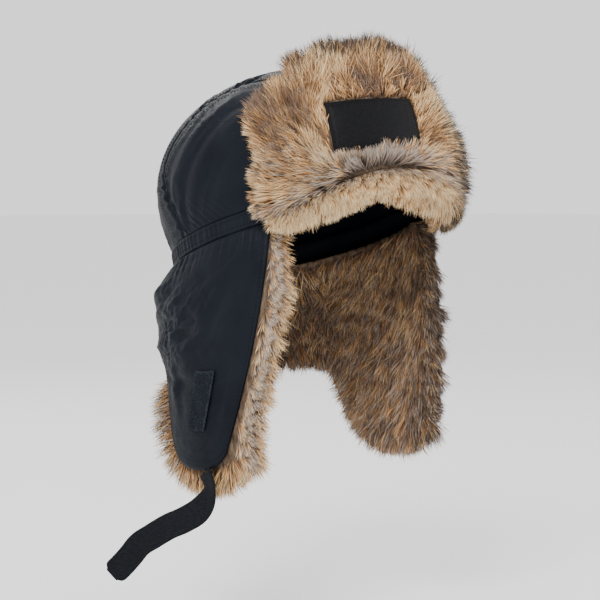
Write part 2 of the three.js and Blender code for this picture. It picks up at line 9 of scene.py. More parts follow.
import bpy
import numpy as np
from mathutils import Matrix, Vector


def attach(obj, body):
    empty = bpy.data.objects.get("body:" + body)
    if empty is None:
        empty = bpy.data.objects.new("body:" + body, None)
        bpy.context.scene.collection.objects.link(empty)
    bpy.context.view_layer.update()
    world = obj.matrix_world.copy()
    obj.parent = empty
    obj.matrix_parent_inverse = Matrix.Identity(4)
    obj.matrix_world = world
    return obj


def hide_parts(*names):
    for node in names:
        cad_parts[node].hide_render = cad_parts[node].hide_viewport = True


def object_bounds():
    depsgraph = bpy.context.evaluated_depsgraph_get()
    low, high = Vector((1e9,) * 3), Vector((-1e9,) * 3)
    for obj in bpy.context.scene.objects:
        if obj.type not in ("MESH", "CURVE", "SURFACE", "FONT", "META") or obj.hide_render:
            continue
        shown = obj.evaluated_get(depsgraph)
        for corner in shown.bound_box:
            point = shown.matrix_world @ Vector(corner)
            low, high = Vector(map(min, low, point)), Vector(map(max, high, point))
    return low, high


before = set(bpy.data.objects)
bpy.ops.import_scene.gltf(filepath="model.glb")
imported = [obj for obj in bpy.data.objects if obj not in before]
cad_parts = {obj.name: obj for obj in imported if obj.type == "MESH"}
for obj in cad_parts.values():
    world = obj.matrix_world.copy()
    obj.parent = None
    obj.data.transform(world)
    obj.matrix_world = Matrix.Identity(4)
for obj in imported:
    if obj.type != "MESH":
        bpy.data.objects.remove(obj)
cad_low, cad_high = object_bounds()

MM = 0.001
HAT_TILT = 17
SEAM_GAP = 0.3
BACKING_GAP = 0.9
BAND_HALF_WIDTH, BAND_HALF_DEPTH, BAND_HEIGHT, BAND_WALL = 97, 111, 13, 2
CROWN_HALF_WIDTH, CROWN_HALF_DEPTH, CROWN_WAIST, CROWN_HEIGHT = 101, 115, 46, 133
CROWN_WALL, CROWN_SHOULDER, CROWN_FOOT, FOOT_LATITUDE = 2.2, 0.93, 13.3, -45
FLAP_WALL, FLAP_DROP, FLAP_PUFF = 2.6, 172, 8
FLAP_HEM_HALF_WIDTH, FLAP_HEM_HALF_DEPTH = 106, 116
LEFT_FLAP_FLARE, LEFT_FLAP_TURN, LEFT_FLAP_LIFT, LEFT_FLAP_CALM = 10, 2, 0.05, 0.5
FLAP_COLUMNS, FLAP_ROWS, SPILL_LEAN, FRONT_EDGE_BEND = 46, 7, 0.5, 1.9
FRONT_FLAP_HEIGHT, FRONT_FLAP_ANGLE, FRONT_FLAP_WALL = 102, 57, 2
FRONT_FLAP_FLARE, FRONT_FLAP_TOP_LEAN, FRONT_FLAP_STEP = 6, 12, 1.6
FRONT_FLAP_CORNER_DROP, FRONT_FLAP_TAPER = 0.1, 0.2
FUR_MAT, FUR_SPILL, FOREHEAD_ROLL, FOREHEAD_DROP, FOREHEAD_END_SHARE = 9, 10, 25, 5, 0.08
LABEL_WIDTH, LABEL_HEIGHT, LABEL_WALL, LABEL_ANGLE, LABEL_MIDDLE = 72, 38, 1.4, 11, 54
LOOP_TAPE_WIDTH, LOOP_TAPE_HEIGHT, LOOP_TAPE_WALL = 20, 48, 1.6
LOOP_TAPE_U, LOOP_TAPE_V, TAPE_CLEARANCE = 0.118, 0.7, 1.2
STRAP_LENGTH, STRAP_WIDTH, STRAP_WALL = 137, 20, 2.2
STRAP_START_U, STRAP_END_ROUND = 0.075, 0.09

SIN_TILT, COS_TILT = math.sin(math.radians(HAT_TILT)), math.cos(math.radians(HAT_TILT))


# Camera, floor and light ---------------------------------------------------------------------
CAMERA_AZIMUTH, CAMERA_ELEVATION, CAMERA_DISTANCE = -42, 3, 1550
FRAME_PIXELS, FOCAL_PIXELS = 600, 1968
ORIGIN_PIXEL = (303, 241)


def place_camera():
    """The camera looks from azimuth and elevation at the point that lies in the frame's middle."""
    turn, rise = math.radians(CAMERA_AZIMUTH), math.radians(CAMERA_ELEVATION)
    right = Vector((math.cos(turn), math.sin(turn), 0))
    back = Vector((math.sin(turn) * math.cos(rise), -math.cos(turn) * math.cos(rise), math.sin(rise)))
    up = back.cross(right)
    scale = CAMERA_DISTANCE / FOCAL_PIXELS
    aim = right * (FRAME_PIXELS / 2 - ORIGIN_PIXEL[0]) * scale
    aim += up * (ORIGIN_PIXEL[1] - FRAME_PIXELS / 2) * scale
    camera = bpy.data.objects.new("camera", bpy.data.cameras.new("camera"))
    camera.data.sensor_width = 36
    camera.data.lens = 36 * FOCAL_PIXELS / FRAME_PIXELS
    camera.location = (aim + back * CAMERA_DISTANCE) * MM
    camera.rotation_mode = "QUATERNION"
    camera.rotation_quaternion = (-back).to_track_quat("-Z", "Y")
    bpy.context.scene.collection.objects.link(camera)
    bpy.context.scene.camera = camera


place_camera()


# Materials -----------------------------------------------------------------------------------
def linear(code):
    """A hex sRGB colour as linear RGBA."""
    shares = [int(code[k:k + 2], 16) / 255 for k in (1, 3, 5)]
    return (*[c / 12.92 if c <= 0.04045 else ((c + 0.055) / 1.055) ** 2.4 for c in shares], 1)


def per_metre(size_mm):
    """The scale of a pattern whose repeat is size_mm."""
    return 1 / (size_mm * MM)


def add_node(tree, kind, settings=(), links=()):
    """Adds a node, sets its own properties or its sockets, and links its sockets."""
    node = tree.nodes.new(kind)
    for key, value in dict(settings).items():
        if isinstance(key, str) and hasattr(node, key):
            setattr(node, key, value)
        else:
            node.inputs[key].default_value = value
    for key, source in dict(links).items():
        tree.links.new(source, node.inputs[key])
    return node


def new_material(name, settings):
    """A material with one Principled shader, and that shader's tree and node."""
    material = bpy.data.materials.new(name)
    material.use_nodes = True
    tree = material.node_tree
    shader = tree.nodes["Principled BSDF"]
    for key, value in settings.items():
        shader.inputs[key].default_value = value
    return material, tree, shader


def ramp(tree, source, stops):
    """A colour ramp read at source, with stops of place and hex colour."""
    node = add_node(tree, "ShaderNodeValToRGB", {}, {"Fac": source})
    elements = node.color_ramp.elements
    for index, (place, code) in enumerate(stops):
        element = elements[index] if index < 2 else elements.new(place)
        element.position, element.color = place, linear(code)
    return node.outputs["Color"]


def nylon_taffeta(name, colour, bright, roughness):
    """Tightly woven nylon with a thin coating: near black, a soft sheen on every crease."""
    material, tree, shader = new_material(
        name, {"Roughness": roughness, "Specular IOR Level": 0.06})
    place = add_node(tree, "ShaderNodeTexCoord").outputs["Object"]
    # Small crinkles of 7 mm and 2.5 mm, stretched along the folds' run
    long_way = add_node(tree, "ShaderNodeMapping", {"Rotation": (0.3, 0.5, 0.2), "Scale": (1, 1, 2.2)},
                        {"Vector": place}).outputs[0]
    crinkle = add_node(tree, "ShaderNodeTexNoise", {"Scale": per_metre(16), "Detail": 5, "Roughness": 0.55,
                                                    "Distortion": 0.8}, {"Vector": long_way})
    # Threads lie 0.2 mm apart in the real cloth. They are drawn 0.8 mm apart so that they show.
    threads = add_node(tree, "ShaderNodeTexWave", {"bands_direction": "Z", "Scale": per_metre(5)},
                       {"Vector": place})
    threads_across = add_node(tree, "ShaderNodeTexWave", {"bands_direction": "X", "Scale": per_metre(5)},
                              {"Vector": place})
    weave = add_node(tree, "ShaderNodeMath", {"operation": "ADD"},
                     {0: threads.outputs["Fac"], 1: threads_across.outputs["Fac"]})
    fine = add_node(tree, "ShaderNodeBump", {"Strength": 0.10, "Distance": 0.1 * MM},
                    {"Height": weave.outputs[0]})
    bump = add_node(tree, "ShaderNodeBump", {"Strength": 0.45, "Distance": 1.6 * MM},
                    {"Height": crinkle.outputs["Fac"], "Normal": fine.outputs[0]})
    tree.links.new(bump.outputs[0], shader.inputs["Normal"])
    cloud = add_node(tree, "ShaderNodeTexNoise", {"Scale": per_metre(45), "Detail": 3}, {"Vector": place})
    tree.links.new(ramp(tree, cloud.outputs["Fac"], [(0.3, colour), (0.75, bright)]), shader.inputs["Base Color"])
    return material


def deep_pile(name):
    """Modacrylic pile. v runs from a strand's root to its tip, u picks its coat: grey underfur, dark
    brown, tan, cream, or tan with a dark grey tip."""
    material, tree, shader = new_material(
        name, {"Roughness": 0.6, "Specular IOR Level": 0.22, "Sheen Weight": 0.1, "Sheen Roughness": 0.5})
    strand = add_node(tree, "ShaderNodeUVMap", {"uv_map": "OFBake"})
    shares = add_node(tree, "ShaderNodeSeparateXYZ", {}, {"Vector": strand.outputs[0]})
    # Each coat runs from root to tip. Its dark root is partly the fibres' own grey-brown root and partly painted shade
    # of the pile's self-shadow.
    coats = [
        (0.1, ["#463e37", "#776b61", "#a09387", "#c0b4a7"]),
        (0.3, ["#251b14", "#4c301b", "#664326", "#573920"]),
        (0.5, ["#3c2f24", "#845a35", "#bb8752", "#d3a56f"]),
        (0.75, ["#4c4135", "#a68056", "#dcb37d", "#f3d9ad"]),
        (0.95, ["#43382e", "#886643", "#57493e", "#2c2929"])]
    colour, before = None, 0
    for place, hues in coats:
        along = ramp(tree, shares.outputs["Y"], list(zip((0.0, 0.3, 0.6, 0.9), hues)))
        if colour is None:
            colour, before = along, place
            continue
        share = add_node(tree, "ShaderNodeMapRange", {"From Min": before, "From Max": place},
                         {"Value": shares.outputs["X"]})
        colour = add_node(tree, "ShaderNodeMix", {"data_type": "RGBA"},
                          {"Factor": share.outputs[0], 6: colour, 7: along}).outputs[2]
        before = place
    tree.links.new(colour, shader.inputs["Base Color"])
    return material


def pile_ground_painted_shade(name):
    """The knitted ground and the dense lower pile that shows only between locks: dark, matt and streaky.
    Its dark brown is partly the lower pile's own colour and partly painted shade of the gaps between
    the locks.
    """
    material, tree, shader = new_material(name, {"Roughness": 0.95, "Specular IOR Level": 0.1})
    place = add_node(tree, "ShaderNodeTexCoord").outputs["Object"]
    stretched = add_node(tree, "ShaderNodeMapping", {"Scale": (1, 1, 0.3)}, {"Vector": place}).outputs[0]
    streaks = add_node(tree, "ShaderNodeTexNoise", {"Scale": per_metre(4), "Detail": 6, "Roughness": 0.7},
                       {"Vector": stretched})
    tree.links.new(ramp(tree, streaks.outputs["Fac"], [(0.3, "#2f2620"), (0.5, "#57483b"), (0.7, "#7d6a57")]),
                   shader.inputs["Base Color"])
    bump = add_node(tree, "ShaderNodeBump", {"Strength": 0.8, "Distance": 2 * MM},
                    {"Height": streaks.outputs["Fac"]})
    tree.links.new(bump.outputs[0], shader.inputs["Normal"])
    return material


def woven_tape(name, colour, bright, roughness, pitch, relief):
    """Narrow woven polyester: matt, with a close rib along it."""
    material, tree, shader = new_material(
        name, {"Roughness": roughness, "Specular IOR Level": 0.07})
    cloth = add_node(tree, "ShaderNodeUVMap", {"uv_map": "cloth"}).outputs[0]
    rib = add_node(tree, "ShaderNodeTexWave", {"bands_direction": "Y", "Scale": per_metre(pitch * 6.3)},
                   {"Vector": cloth})
    warp = add_node(tree, "ShaderNodeTexWave", {"bands_direction": "X", "Scale": per_metre(pitch * 6.3)},
                    {"Vector": cloth})
    weave = add_node(tree, "ShaderNodeMath", {"operation": "MULTIPLY"},
                     {0: rib.outputs["Fac"], 1: warp.outputs["Fac"]})
    speckle = add_node(tree, "ShaderNodeTexNoise", {"Scale": per_metre(2), "Detail": 4}, {"Vector": cloth})
    both = add_node(tree, "ShaderNodeMath", {"operation": "ADD"},
                    {0: weave.outputs[0], 1: speckle.outputs["Fac"]})
    bump = add_node(tree, "ShaderNodeBump", {"Strength": 0.6, "Distance": relief * MM},
                    {"Height": both.outputs[0]})
    tree.links.new(bump.outputs[0], shader.inputs["Normal"])
    tree.links.new(ramp(tree, speckle.outputs["Fac"], [(0.35, colour), (0.7, bright)]),
                   shader.inputs["Base Color"])
    return material


NYLON = nylon_taffeta("nylon_taffeta", "#0d1016", "#14181f", 0.48)
PILE = deep_pile("modacrylic_pile")
GROUND_PAINTED_SHADE = pile_ground_painted_shade("pile_ground_painted_shade")
SATIN = woven_tape("woven_label_satin", "#0b0b0d", "#121215", 0.5, 0.7, 0.12)
STRAP_TAPE = woven_tape("hook_tape", "#0c0d10", "#17191e", 0.75, 1.6, 0.35)
LOOP_TAPE = woven_tape("loop_tape", "#13161b", "#2a2e36", 0.9, 1.3, 0.4)
THREAD, _, _ = new_material("polyester_thread", {
    "Base Color": linear("#0d0f13"), "Roughness": 0.6, "Specular IOR Level": 0.08})


# Surfaces ------------------------------------------------------------------------------------
def mix(low, high, share):
    """low at share 0, high at share 1."""
    return low + (high - low) * share


def unit(vectors):
    """Vectors of length 1."""
    return vectors / np.maximum(np.linalg.norm(vectors, axis=-1, keepdims=True), 1e-9)


def points_of(*parts):
    """Arrays of x, y and z as one array of points."""
    return np.stack(np.broadcast_arrays(*parts), axis=-1).astype(float)


def lean(across, back, up):
    """The hat's own leaning frame turned about X by the tilt."""
    return points_of(across, back * COS_TILT + up * SIN_TILT, up * COS_TILT - back * SIN_TILT)


def round_hat(angle, half_width, half_depth, up):
    """An ellipse round the hat at a height up along the crown."""
    turn = np.radians(angle)
    return lean(-half_width * np.sin(turn), -half_depth * np.cos(turn), up)


def smooth_table(rows):
    """The centripetal Catmull-Rom curve through the rows, as a function of a share of their count."""
    knots = np.asarray(rows, float)
    padded = np.concatenate([2 * knots[:1] - knots[1:2], knots, 2 * knots[-1:] - knots[-2:-1]])

    def read(share):
        place = np.clip(share, 0, 1) * (len(knots) - 1)
        first = np.minimum(np.floor(place).astype(int), len(knots) - 2)
        w = (place - first)[..., None]
        a, b, c, d = (padded[first + k] for k in range(4))
        gaps = [np.linalg.norm(q - p, axis=-1, keepdims=True) ** 0.5 for p, q in ((a, b), (b, c), (c, d))]
        middle = np.where(gaps[1] < 1e-4, 1, gaps[1])
        before = np.where(gaps[0] < 1e-4, middle, gaps[0])
        after = np.where(gaps[2] < 1e-4, middle, gaps[2])
        start = ((b - a) / before - (c - a) / (before + middle) + (c - b) / middle) * middle
        end = ((c - b) / middle - (d - b) / (middle + after) + (d - c) / after) * middle
        return b + w * (start + w * (3 * (c - b) - 2 * start - end + w * (2 * (b - c) + start + end)))

    return read


def noise(x, y, seed):
    """Smooth value noise from -1 to 1: random heights at whole x and y, blended with 3f^2 - 2f^3."""
    i, j = np.floor(x), np.floor(y)
    f, g = x - i, y - j
    f, g = f * f * (3 - 2 * f), g * g * (3 - 2 * g)

    def corner(a, b):
        wave = np.sin(a * 127.1 + b * 311.7 + seed * 74.7) * 43758.5453
        return wave - np.floor(wave)

    low = mix(corner(i, j), corner(i + 1, j), f)
    high = mix(corner(i, j + 1), corner(i + 1, j + 1), f)
    return 2 * mix(low, high, g) - 1


def wrinkles(x, y, seed, length=26, width=9, turn=0.0):
    """Creases of cloth: ridges 1 - |noise| at three sizes, longer along the turned x axis."""
    c, s = math.cos(math.radians(turn)), math.sin(math.radians(turn))
    along, beside = (x * c + y * s) / length, (y * c - x * s) / width
    beside = beside + 0.6 * noise(along * 1.3, beside * 0.5, seed + 9)
    height = 0
    for octave in range(3):
        k = 1.9 ** octave
        height = height + (1 - np.abs(noise(along * k, beside * k, seed + octave)) ** 0.8 * 2) / k
    return height / 2


def folds(x, y, rows):
    """Single folds: rows of x, y, half length, half width, slope in degrees and height, each a ridge
    height * exp(-(along / half length)^2 - (beside / half width)^2)."""
    height = 0
    for place_x, place_y, half_length, half_width, slope, tall in rows:
        c, s = math.cos(math.radians(slope)), math.sin(math.radians(slope))
        along, beside = (x - place_x) * c + (y - place_y) * s, (y - place_y) * c - (x - place_x) * s
        height = height + tall * np.exp(-(along / half_length) ** 2 - (beside / half_width) ** 2)
    return height


def grid(columns, rows, ring=False):
    """Shares u down the first axis and v along the second."""
    u = np.linspace(0, 1, columns + 1)[:columns if ring else columns + 1]
    return np.meshgrid(u, np.linspace(0, 1, rows + 1), indexing="ij")


def run(points, axis):
    """The length along each grid line from its start, on an axis."""
    steps = np.linalg.norm(np.diff(points, axis=axis), axis=-1)
    pad = [(0, 0), (0, 0)]
    pad[axis] = (1, 0)
    return np.pad(np.cumsum(steps, axis=axis), pad)


def normals_of(points, away, ring=False):
    """Unit normals of a grid, turned to point away from the point away."""
    if ring:
        wide = np.concatenate([points[-1:], points, points[:1]])
        du = (wide[2:] - wide[:-2])
    else:
        du = np.gradient(points, axis=0)
    normal = unit(np.cross(du, np.gradient(points, axis=1)))
    outward = np.sum(normal * (points - away), axis=-1).mean()
    return normal if outward > 0 else -normal


def new_piece(name, points, faces, material, uvs=None, uv_name="cloth", smooth=True):
    """A mesh object from points in millimetres and an array of faces, riding on the hat."""
    mesh = bpy.data.meshes.new(name)
    mesh.vertices.add(len(points))
    mesh.vertices.foreach_set("co", (points * MM).astype(np.float32).ravel())
    mesh.loops.add(faces.size)
    mesh.loops.foreach_set("vertex_index", faces.astype(np.int32).ravel())
    mesh.polygons.add(len(faces))
    mesh.polygons.foreach_set("loop_start", np.arange(0, faces.size, faces.shape[1], dtype=np.int32))
    if uvs is not None:
        layer = mesh.uv_layers.new(name=uv_name)
        layer.data.foreach_set("uv", uvs[faces.ravel()].astype(np.float32).ravel())
    mesh.polygons.foreach_set("use_smooth", np.full(len(faces), smooth))
    mesh.update(calc_edges=True)
    mesh.validate()
    mesh.materials.append(material)
    piece = bpy.data.objects.new(name, mesh)
    bpy.context.scene.collection.objects.link(piece)
    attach(piece, "root")
    return piece


def wall(name, outer, inner, material, ring=False):
    """A closed wall between two grids of points, with its rims. Its faces point out."""
    across, rows = outer.shape[:2]
    points = np.concatenate([outer.reshape(-1, 3), inner.reshape(-1, 3)])
    index = np.arange(2 * across * rows).reshape(2, across, rows)
    if ring:
        index = np.concatenate([index, index[:, :1]], axis=1)

    def quads(a, b, c, d):
        return np.stack([a, b, c, d], axis=-1).reshape(-1, 4)

    out, back = index
    parts = [quads(out[:-1, :-1], out[1:, :-1], out[1:, 1:], out[:-1, 1:]),
             quads(back[:-1, :-1], back[:-1, 1:], back[1:, 1:], back[1:, :-1]),
             quads(out[1:, 0], out[:-1, 0], back[:-1, 0], back[1:, 0]),
             quads(out[:-1, -1], out[1:, -1], back[1:, -1], back[:-1, -1])]
    if not ring:
        parts += [quads(out[0, :-1], out[0, 1:], back[0, 1:], back[0, :-1]),
                  quads(out[-1, 1:], out[-1, :-1], back[-1, :-1], back[-1, 1:])]
    faces = np.concatenate(parts)
    a, b, c, d = (points[faces[:, k]] for k in range(4))
    volume = np.sum(a * np.cross(b, c)) + np.sum(a * np.cross(c, d))
    if volume < 0:
        faces = faces[:, ::-1]
    cloth = np.stack([run(outer, 0), run(outer, 1)], axis=-1).reshape(-1, 2) * MM
    return new_piece(name, points, faces, material, np.concatenate([cloth, cloth]))


def stitches(name, lines, pitch=3.0, length=2.1, radius=0.24):
    """Thread along lines of points with normals: an eight-sided spindle every pitch millimetres."""
    starts, aims, ups = [], [], []
    for line, normal in lines:
        steps = np.concatenate([[0], np.cumsum(np.linalg.norm(np.diff(line, axis=0), axis=1))])
        places = np.arange(pitch, steps[-1] - pitch, pitch)
        read = lambda values: np.stack([np.interp(places, steps, values[:, k]) for k in range(3)], axis=-1)
        middle = read(line)
        ahead = np.stack([np.interp(places + 0.5, steps, line[:, k]) for k in range(3)], axis=-1)
        starts.append(middle)
        aims.append(unit(ahead - middle))
        ups.append(unit(read(normal)))
    middle, aim, up = (np.concatenate(part) for part in (starts, aims, ups))
    side = unit(np.cross(aim, up))
    corners = [middle - 0.5 * length * aim - 0.5 * radius * up]
    for a, b in ((1, 0), (0, 1), (-1, 0), (0, -1)):
        corners.append(middle + radius * (a * side + (b + 0.5) * up))
    corners.append(middle + 0.5 * length * aim - 0.5 * radius * up)
    points = np.stack(corners, axis=1)
    one = np.array([[0, 2, 1], [0, 3, 2], [0, 4, 3], [0, 1, 4], [5, 1, 2], [5, 2, 3], [5, 3, 4], [5, 4, 1]])
    faces = (one[None] + 6 * np.arange(len(points))[:, None, None]).reshape(-1, 3)
    return new_piece(name, points.reshape(-1, 3), faces, THREAD)


# Crown ---------------------------------------------------------------------------------------
# The seam of the wearer's right side: angle, latitude, and latitude on the crown's middle line
crown_seam = smooth_table([
    [24, FOOT_LATITUDE, FOOT_LATITUDE], [24, -2, -2], [31, 30, 32], [47, 49, 60], [69, 54, 76],
    [88, 47, 92], [100, 37, 106], [108, 27, 124], [113, 14, 148], [110, -5, 180], [106, -24, 204],
    [106, FOOT_LATITUDE, 180 - FOOT_LATITUDE]])
SIDE_CORNER = 1 / 6
HAT_MIDDLE = np.array([0, 20, 40])


def crown_point(aim, inset):
    """A direction meets the crown: above the waist a rounded dome, whose level share is
    cos(latitude)^shoulder and whose height share sin(latitude)^shoulder, and below it a wall that
    draws in with the square of the fall to the band's size."""
    x, y, z = (aim[..., k] for k in range(3))
    angle = np.arctan2(x, y)
    latitude = np.arctan2(np.maximum(z, 0), np.hypot(x, y))
    fall = np.clip(z / math.sin(math.radians(FOOT_LATITUDE)), 0, 1)
    share = np.where(z >= 0, np.maximum(np.cos(latitude), 0) ** CROWN_SHOULDER, 1)
    dome = CROWN_WAIST + (CROWN_HEIGHT - CROWN_WAIST - inset) * np.sin(latitude) ** CROWN_SHOULDER
    up = np.where(z >= 0, dome, mix(CROWN_WAIST, CROWN_FOOT, fall))
    half_width = mix(CROWN_HALF_WIDTH, BAND_HALF_WIDTH, fall ** 2)
    half_depth = mix(CROWN_HALF_DEPTH, BAND_HALF_DEPTH, fall ** 2)
    return lean((half_width - inset) * share * np.sin(angle), (half_depth - inset) * share * np.cos(angle), up)


def direction(angle, latitude):
    """Angle and latitude as a unit vector."""
    turn, rise = np.radians(angle), np.radians(latitude)
    return points_of(-np.cos(rise) * np.sin(turn), -np.cos(rise) * np.cos(turn), np.sin(rise))


def strip_point(u, v, inset):
    """The strip's direction is a parabola from the right seam over the middle line to the left seam."""
    trim = SEAM_GAP / (2 * CROWN_HALF_WIDTH)
    across = mix(trim, 1 - trim, v)[..., None]
    seam = crown_seam(u)
    right = direction(seam[..., 0], seam[..., 1])
    left = right * [-1, 1, 1]
    ridge = direction(0 * seam[..., 2], seam[..., 2])
    aim = right * (1 - across) * (1 - 2 * across) + ridge * 4 * across * (1 - across)
    return crown_point(aim + left * across * (2 * across - 1), inset)


def side_point(u, v, inset, side):
    """A Coons patch in angle and latitude between the seam's top, its two ends and the foot."""
    trim = SEAM_GAP / CROWN_HALF_DEPTH
    corner = lambda share: crown_seam(np.asarray(share, float))[..., :2]
    along, down = mix(trim, 1 - trim, u)[..., None], mix(2 * trim, 1, v)[..., None]
    front_foot, back_foot = corner(0), corner(1)
    front_top, back_top = corner(SIDE_CORNER), corner(1 - SIDE_CORNER)
    top = corner(mix(SIDE_CORNER, 1 - SIDE_CORNER, u))
    front, back = corner(SIDE_CORNER * (1 - v)), corner(1 - SIDE_CORNER * (1 - v))
    place = top * (1 - down) + (front_foot * (1 - along) + back_foot * along) * down
    place = place + front * (1 - along) + back * along
    place = place - front_top * (1 - along) * (1 - down) - back_top * along * (1 - down)
    place = place - front_foot * (1 - along) * down - back_foot * along * down
    return crown_point(direction(place[..., 0], place[..., 1]), inset) * [side, 1, 1]


def gathers(along, away, seed, pitch=9.0, reach=13.0, tall=1.1, sink=0.9):
    """Puckers along a seam: waves whose pitch and height wander, which start 2 mm from the seam and
    fade over reach, with the seam's own groove and the dip of a second row of stitching 9 mm away."""
    nil = 0 * along
    drift = 2.2 * noise(along / 31, nil, seed) + 1.4 * noise(along / 12, nil + 7, seed)
    size = np.clip(0.7 + 0.75 * noise(along / 19, nil + 3, seed + 1), 0.1, 1.4)
    bend = away / 14 * noise(along / 17, nil + 5, seed + 2)
    wave = np.cos(2 * np.pi * along / pitch + drift + 1.5 * bend)
    wave = wave + 0.5 * np.cos(2 * np.pi * along / (0.57 * pitch) + 1.7 * drift + bend)
    start = 1 - np.exp(-(away / 2.5) ** 2)
    long = np.exp(-away / (reach * (0.7 + 0.6 * size)))
    groove = -sink * np.exp(-(away / 1.8) ** 2) - 0.35 * np.exp(-((away - 9) / 1.5) ** 2)
    return tall * size * wave * long * start + groove


def binding(name, centre, normal, half_width, thick=0.8):
    """A tape sewn over a seam on the inside, so that no light shows through it."""
    along = unit(np.gradient(centre, axis=0))
    across = unit(np.cross(normal, along))
    place = np.linspace(-1, 1, 7)[None, :, None] * half_width
    outer = centre[:, None] + across[:, None] * place
    inner = outer - normal[:, None] * thick
    piece = wall(name, outer, inner, NYLON)


def inner_bindings():
    """Tapes inside the crown's two arched seams and inside the band."""
    share = np.linspace(0.002, 0.998, 150)
    seam = crown_seam(share)
    for side, name in ((1, "seam_binding_right"), (-1, "seam_binding_left")):
        aim = direction(seam[:, 0], seam[:, 1]) * [side, 1, 1]
        centre = crown_point(aim, CROWN_WALL + 1.0)
        binding(name, centre, unit(crown_point(aim, 0) - crown_point(aim, 4)), 5)
    u, v = grid(150, 6, ring=True)
    up = mix(-SEAM_GAP, BAND_HEIGHT + 6, v)
    inset = BAND_WALL + 0.15 + 1.1 * np.clip((up - 10) / 3, 0, 1) - 2.2 * np.clip((up - 14) / 32, 0, 1)
    at = lambda thick: round_hat(360 * u, BAND_HALF_WIDTH - inset - thick, BAND_HALF_DEPTH - inset - thick, up)
    piece = wall("band_binding", at(0), at(0.8), NYLON, ring=True)


def crown_strip():
    """The middle strip, with gathers along both long seams and along its feet."""
    u, v = grid(200, 84)
    v = v - 0.02 * np.sin(4 * np.pi * v)
    outer = strip_point(u, v, 0 * u)
    along, across = run(outer, 0), run(outer, 1)
    width, length = across[:, -1:], along[-1:]
    edge_run = along[:, :1]
    relief = 1.5 * gathers(edge_run, across, 1) * (across < width / 2)
    relief = relief + 1.5 * gathers(edge_run, width - across, 2) * (across >= width / 2)
    feet = np.minimum(along, length - along)
    relief = relief + 0.8 * gathers(across, feet, 3, 7, 9, 0.9)
    relief = relief + 0.8 * wrinkles(along, across, 4, 60, 15, 4) * np.clip(across / 20, 0, 1)
    normal = normals_of(outer, HAT_MIDDLE)
    shown = outer + normal * relief[..., None]
    piece = wall("crown_center_strip_cloth", shown, strip_point(u, v, CROWN_WALL + 0.8 + 0 * u), NYLON)
    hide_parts("crown_center_strip")
    seams = []
    for edge in (0, -1):
        for offset in (5, ):
            column = offset if edge == 0 else -1 - offset
            seams.append((shown[:, column] + 0.1 * normal[:, column], normal[:, column]))
    return seams


SIDE_FOLDS = [
    # x and y in millimetres from the panel's top front corner, half length, half width, slope, height
    [157, 50, 7, 2.5, -20, -1.6], [155, 62, 5, 24, 0, 1.4], [168, 66, 5, 26, 8, -1.5],
    [128, 30, 52, 6, 6, 1.4], [120, 44, 44, 5, 8, -0.9], [100, 58, 50, 8, 4, 1.1],
    [64, 40, 34, 7, -10, -1.0], [92, 84, 36, 9, 14, 0.9], [40, 66, 20, 6, 58, 0.9],
    [205, 40, 20, 5, 70, 1.4], [226, 70, 16, 6, 50, -1.0],
]


def crown_side(side, name, seed):
    """A side panel, with gathers along its seam, long soft drapes below the seam and creases."""
    u, v = grid(124, 66)
    outer = side_point(u, v, 0 * u, side)
    along, down = run(outer, 0), run(outer, 1)
    total, deep = along[-1:], down[:, -1:]
    relief = gathers(along[:, :1], down, seed)
    relief = relief + 0.7 * gathers(down[:1], along, seed + 1) + 0.7 * gathers(down[-1:], total - along, seed + 2)
    relief = relief + 0.9 * gathers(along[:, -1:], deep - down, seed + 3, 6.5, 8, 0.8, 0.2)
    inside = np.clip(np.minimum(np.minimum(along, total - along), np.minimum(down, deep - down)) / 12, 0, 1)
    relief = relief + inside * (folds(along, down, SIDE_FOLDS) + 1.1 * wrinkles(along, down, seed + 4, 55, 16, 8))
    normal = normals_of(outer, HAT_MIDDLE)
    shown = outer + normal * relief[..., None]
    piece = wall(name + "_cloth", shown, side_point(u, v, CROWN_WALL + 0.8 + 0 * u, side), NYLON)
    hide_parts(name)
    return [(shown[:, 5] + 0.1 * normal[:, 5], normal[:, 5])]


def gathered_band():
    """The band: gathers of uneven pitch swell between its two sewn edges."""
    u, v = grid(560, 8, ring=True)
    turn = 360 * u
    count = 118
    drift = 1.6 * np.sin(2 * np.pi * 5 * u) + 1.3 * np.sin(2 * np.pi * 13 * u + 1) + np.sin(2 * np.pi * 29 * u)
    wave = 0.5 + 0.5 * np.cos(2 * np.pi * count * u + drift + 1.4 * (v - 0.5))
    uneven = 0.65 + 0.35 * noise(16 * 2 * np.pi * u, 0 * u, 8)
    swell = (0.3 + 1.2 * wave * uneven) * np.sin(np.pi * v) ** 0.6 - 0.3 * np.exp(-((v - 0.5) / 0.1) ** 2)
    size = lambda inset: round_hat(turn, BAND_HALF_WIDTH - inset + swell, BAND_HALF_DEPTH - inset + swell,
                                   v * BAND_HEIGHT)
    outer = size(0)
    inner = round_hat(turn, BAND_HALF_WIDTH - BAND_WALL + 0 * v, BAND_HALF_DEPTH - BAND_WALL + 0 * v,
                      v * BAND_HEIGHT)
    piece = wall("gathered_band_cloth", outer, inner, NYLON, ring=True)
    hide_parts("gathered_band")
    normal = normals_of(outer, HAT_MIDDLE, ring=True)
    return [(outer[:, row] + 0.15 * normal[:, row], normal[:, row]) for row in (2, 6)]


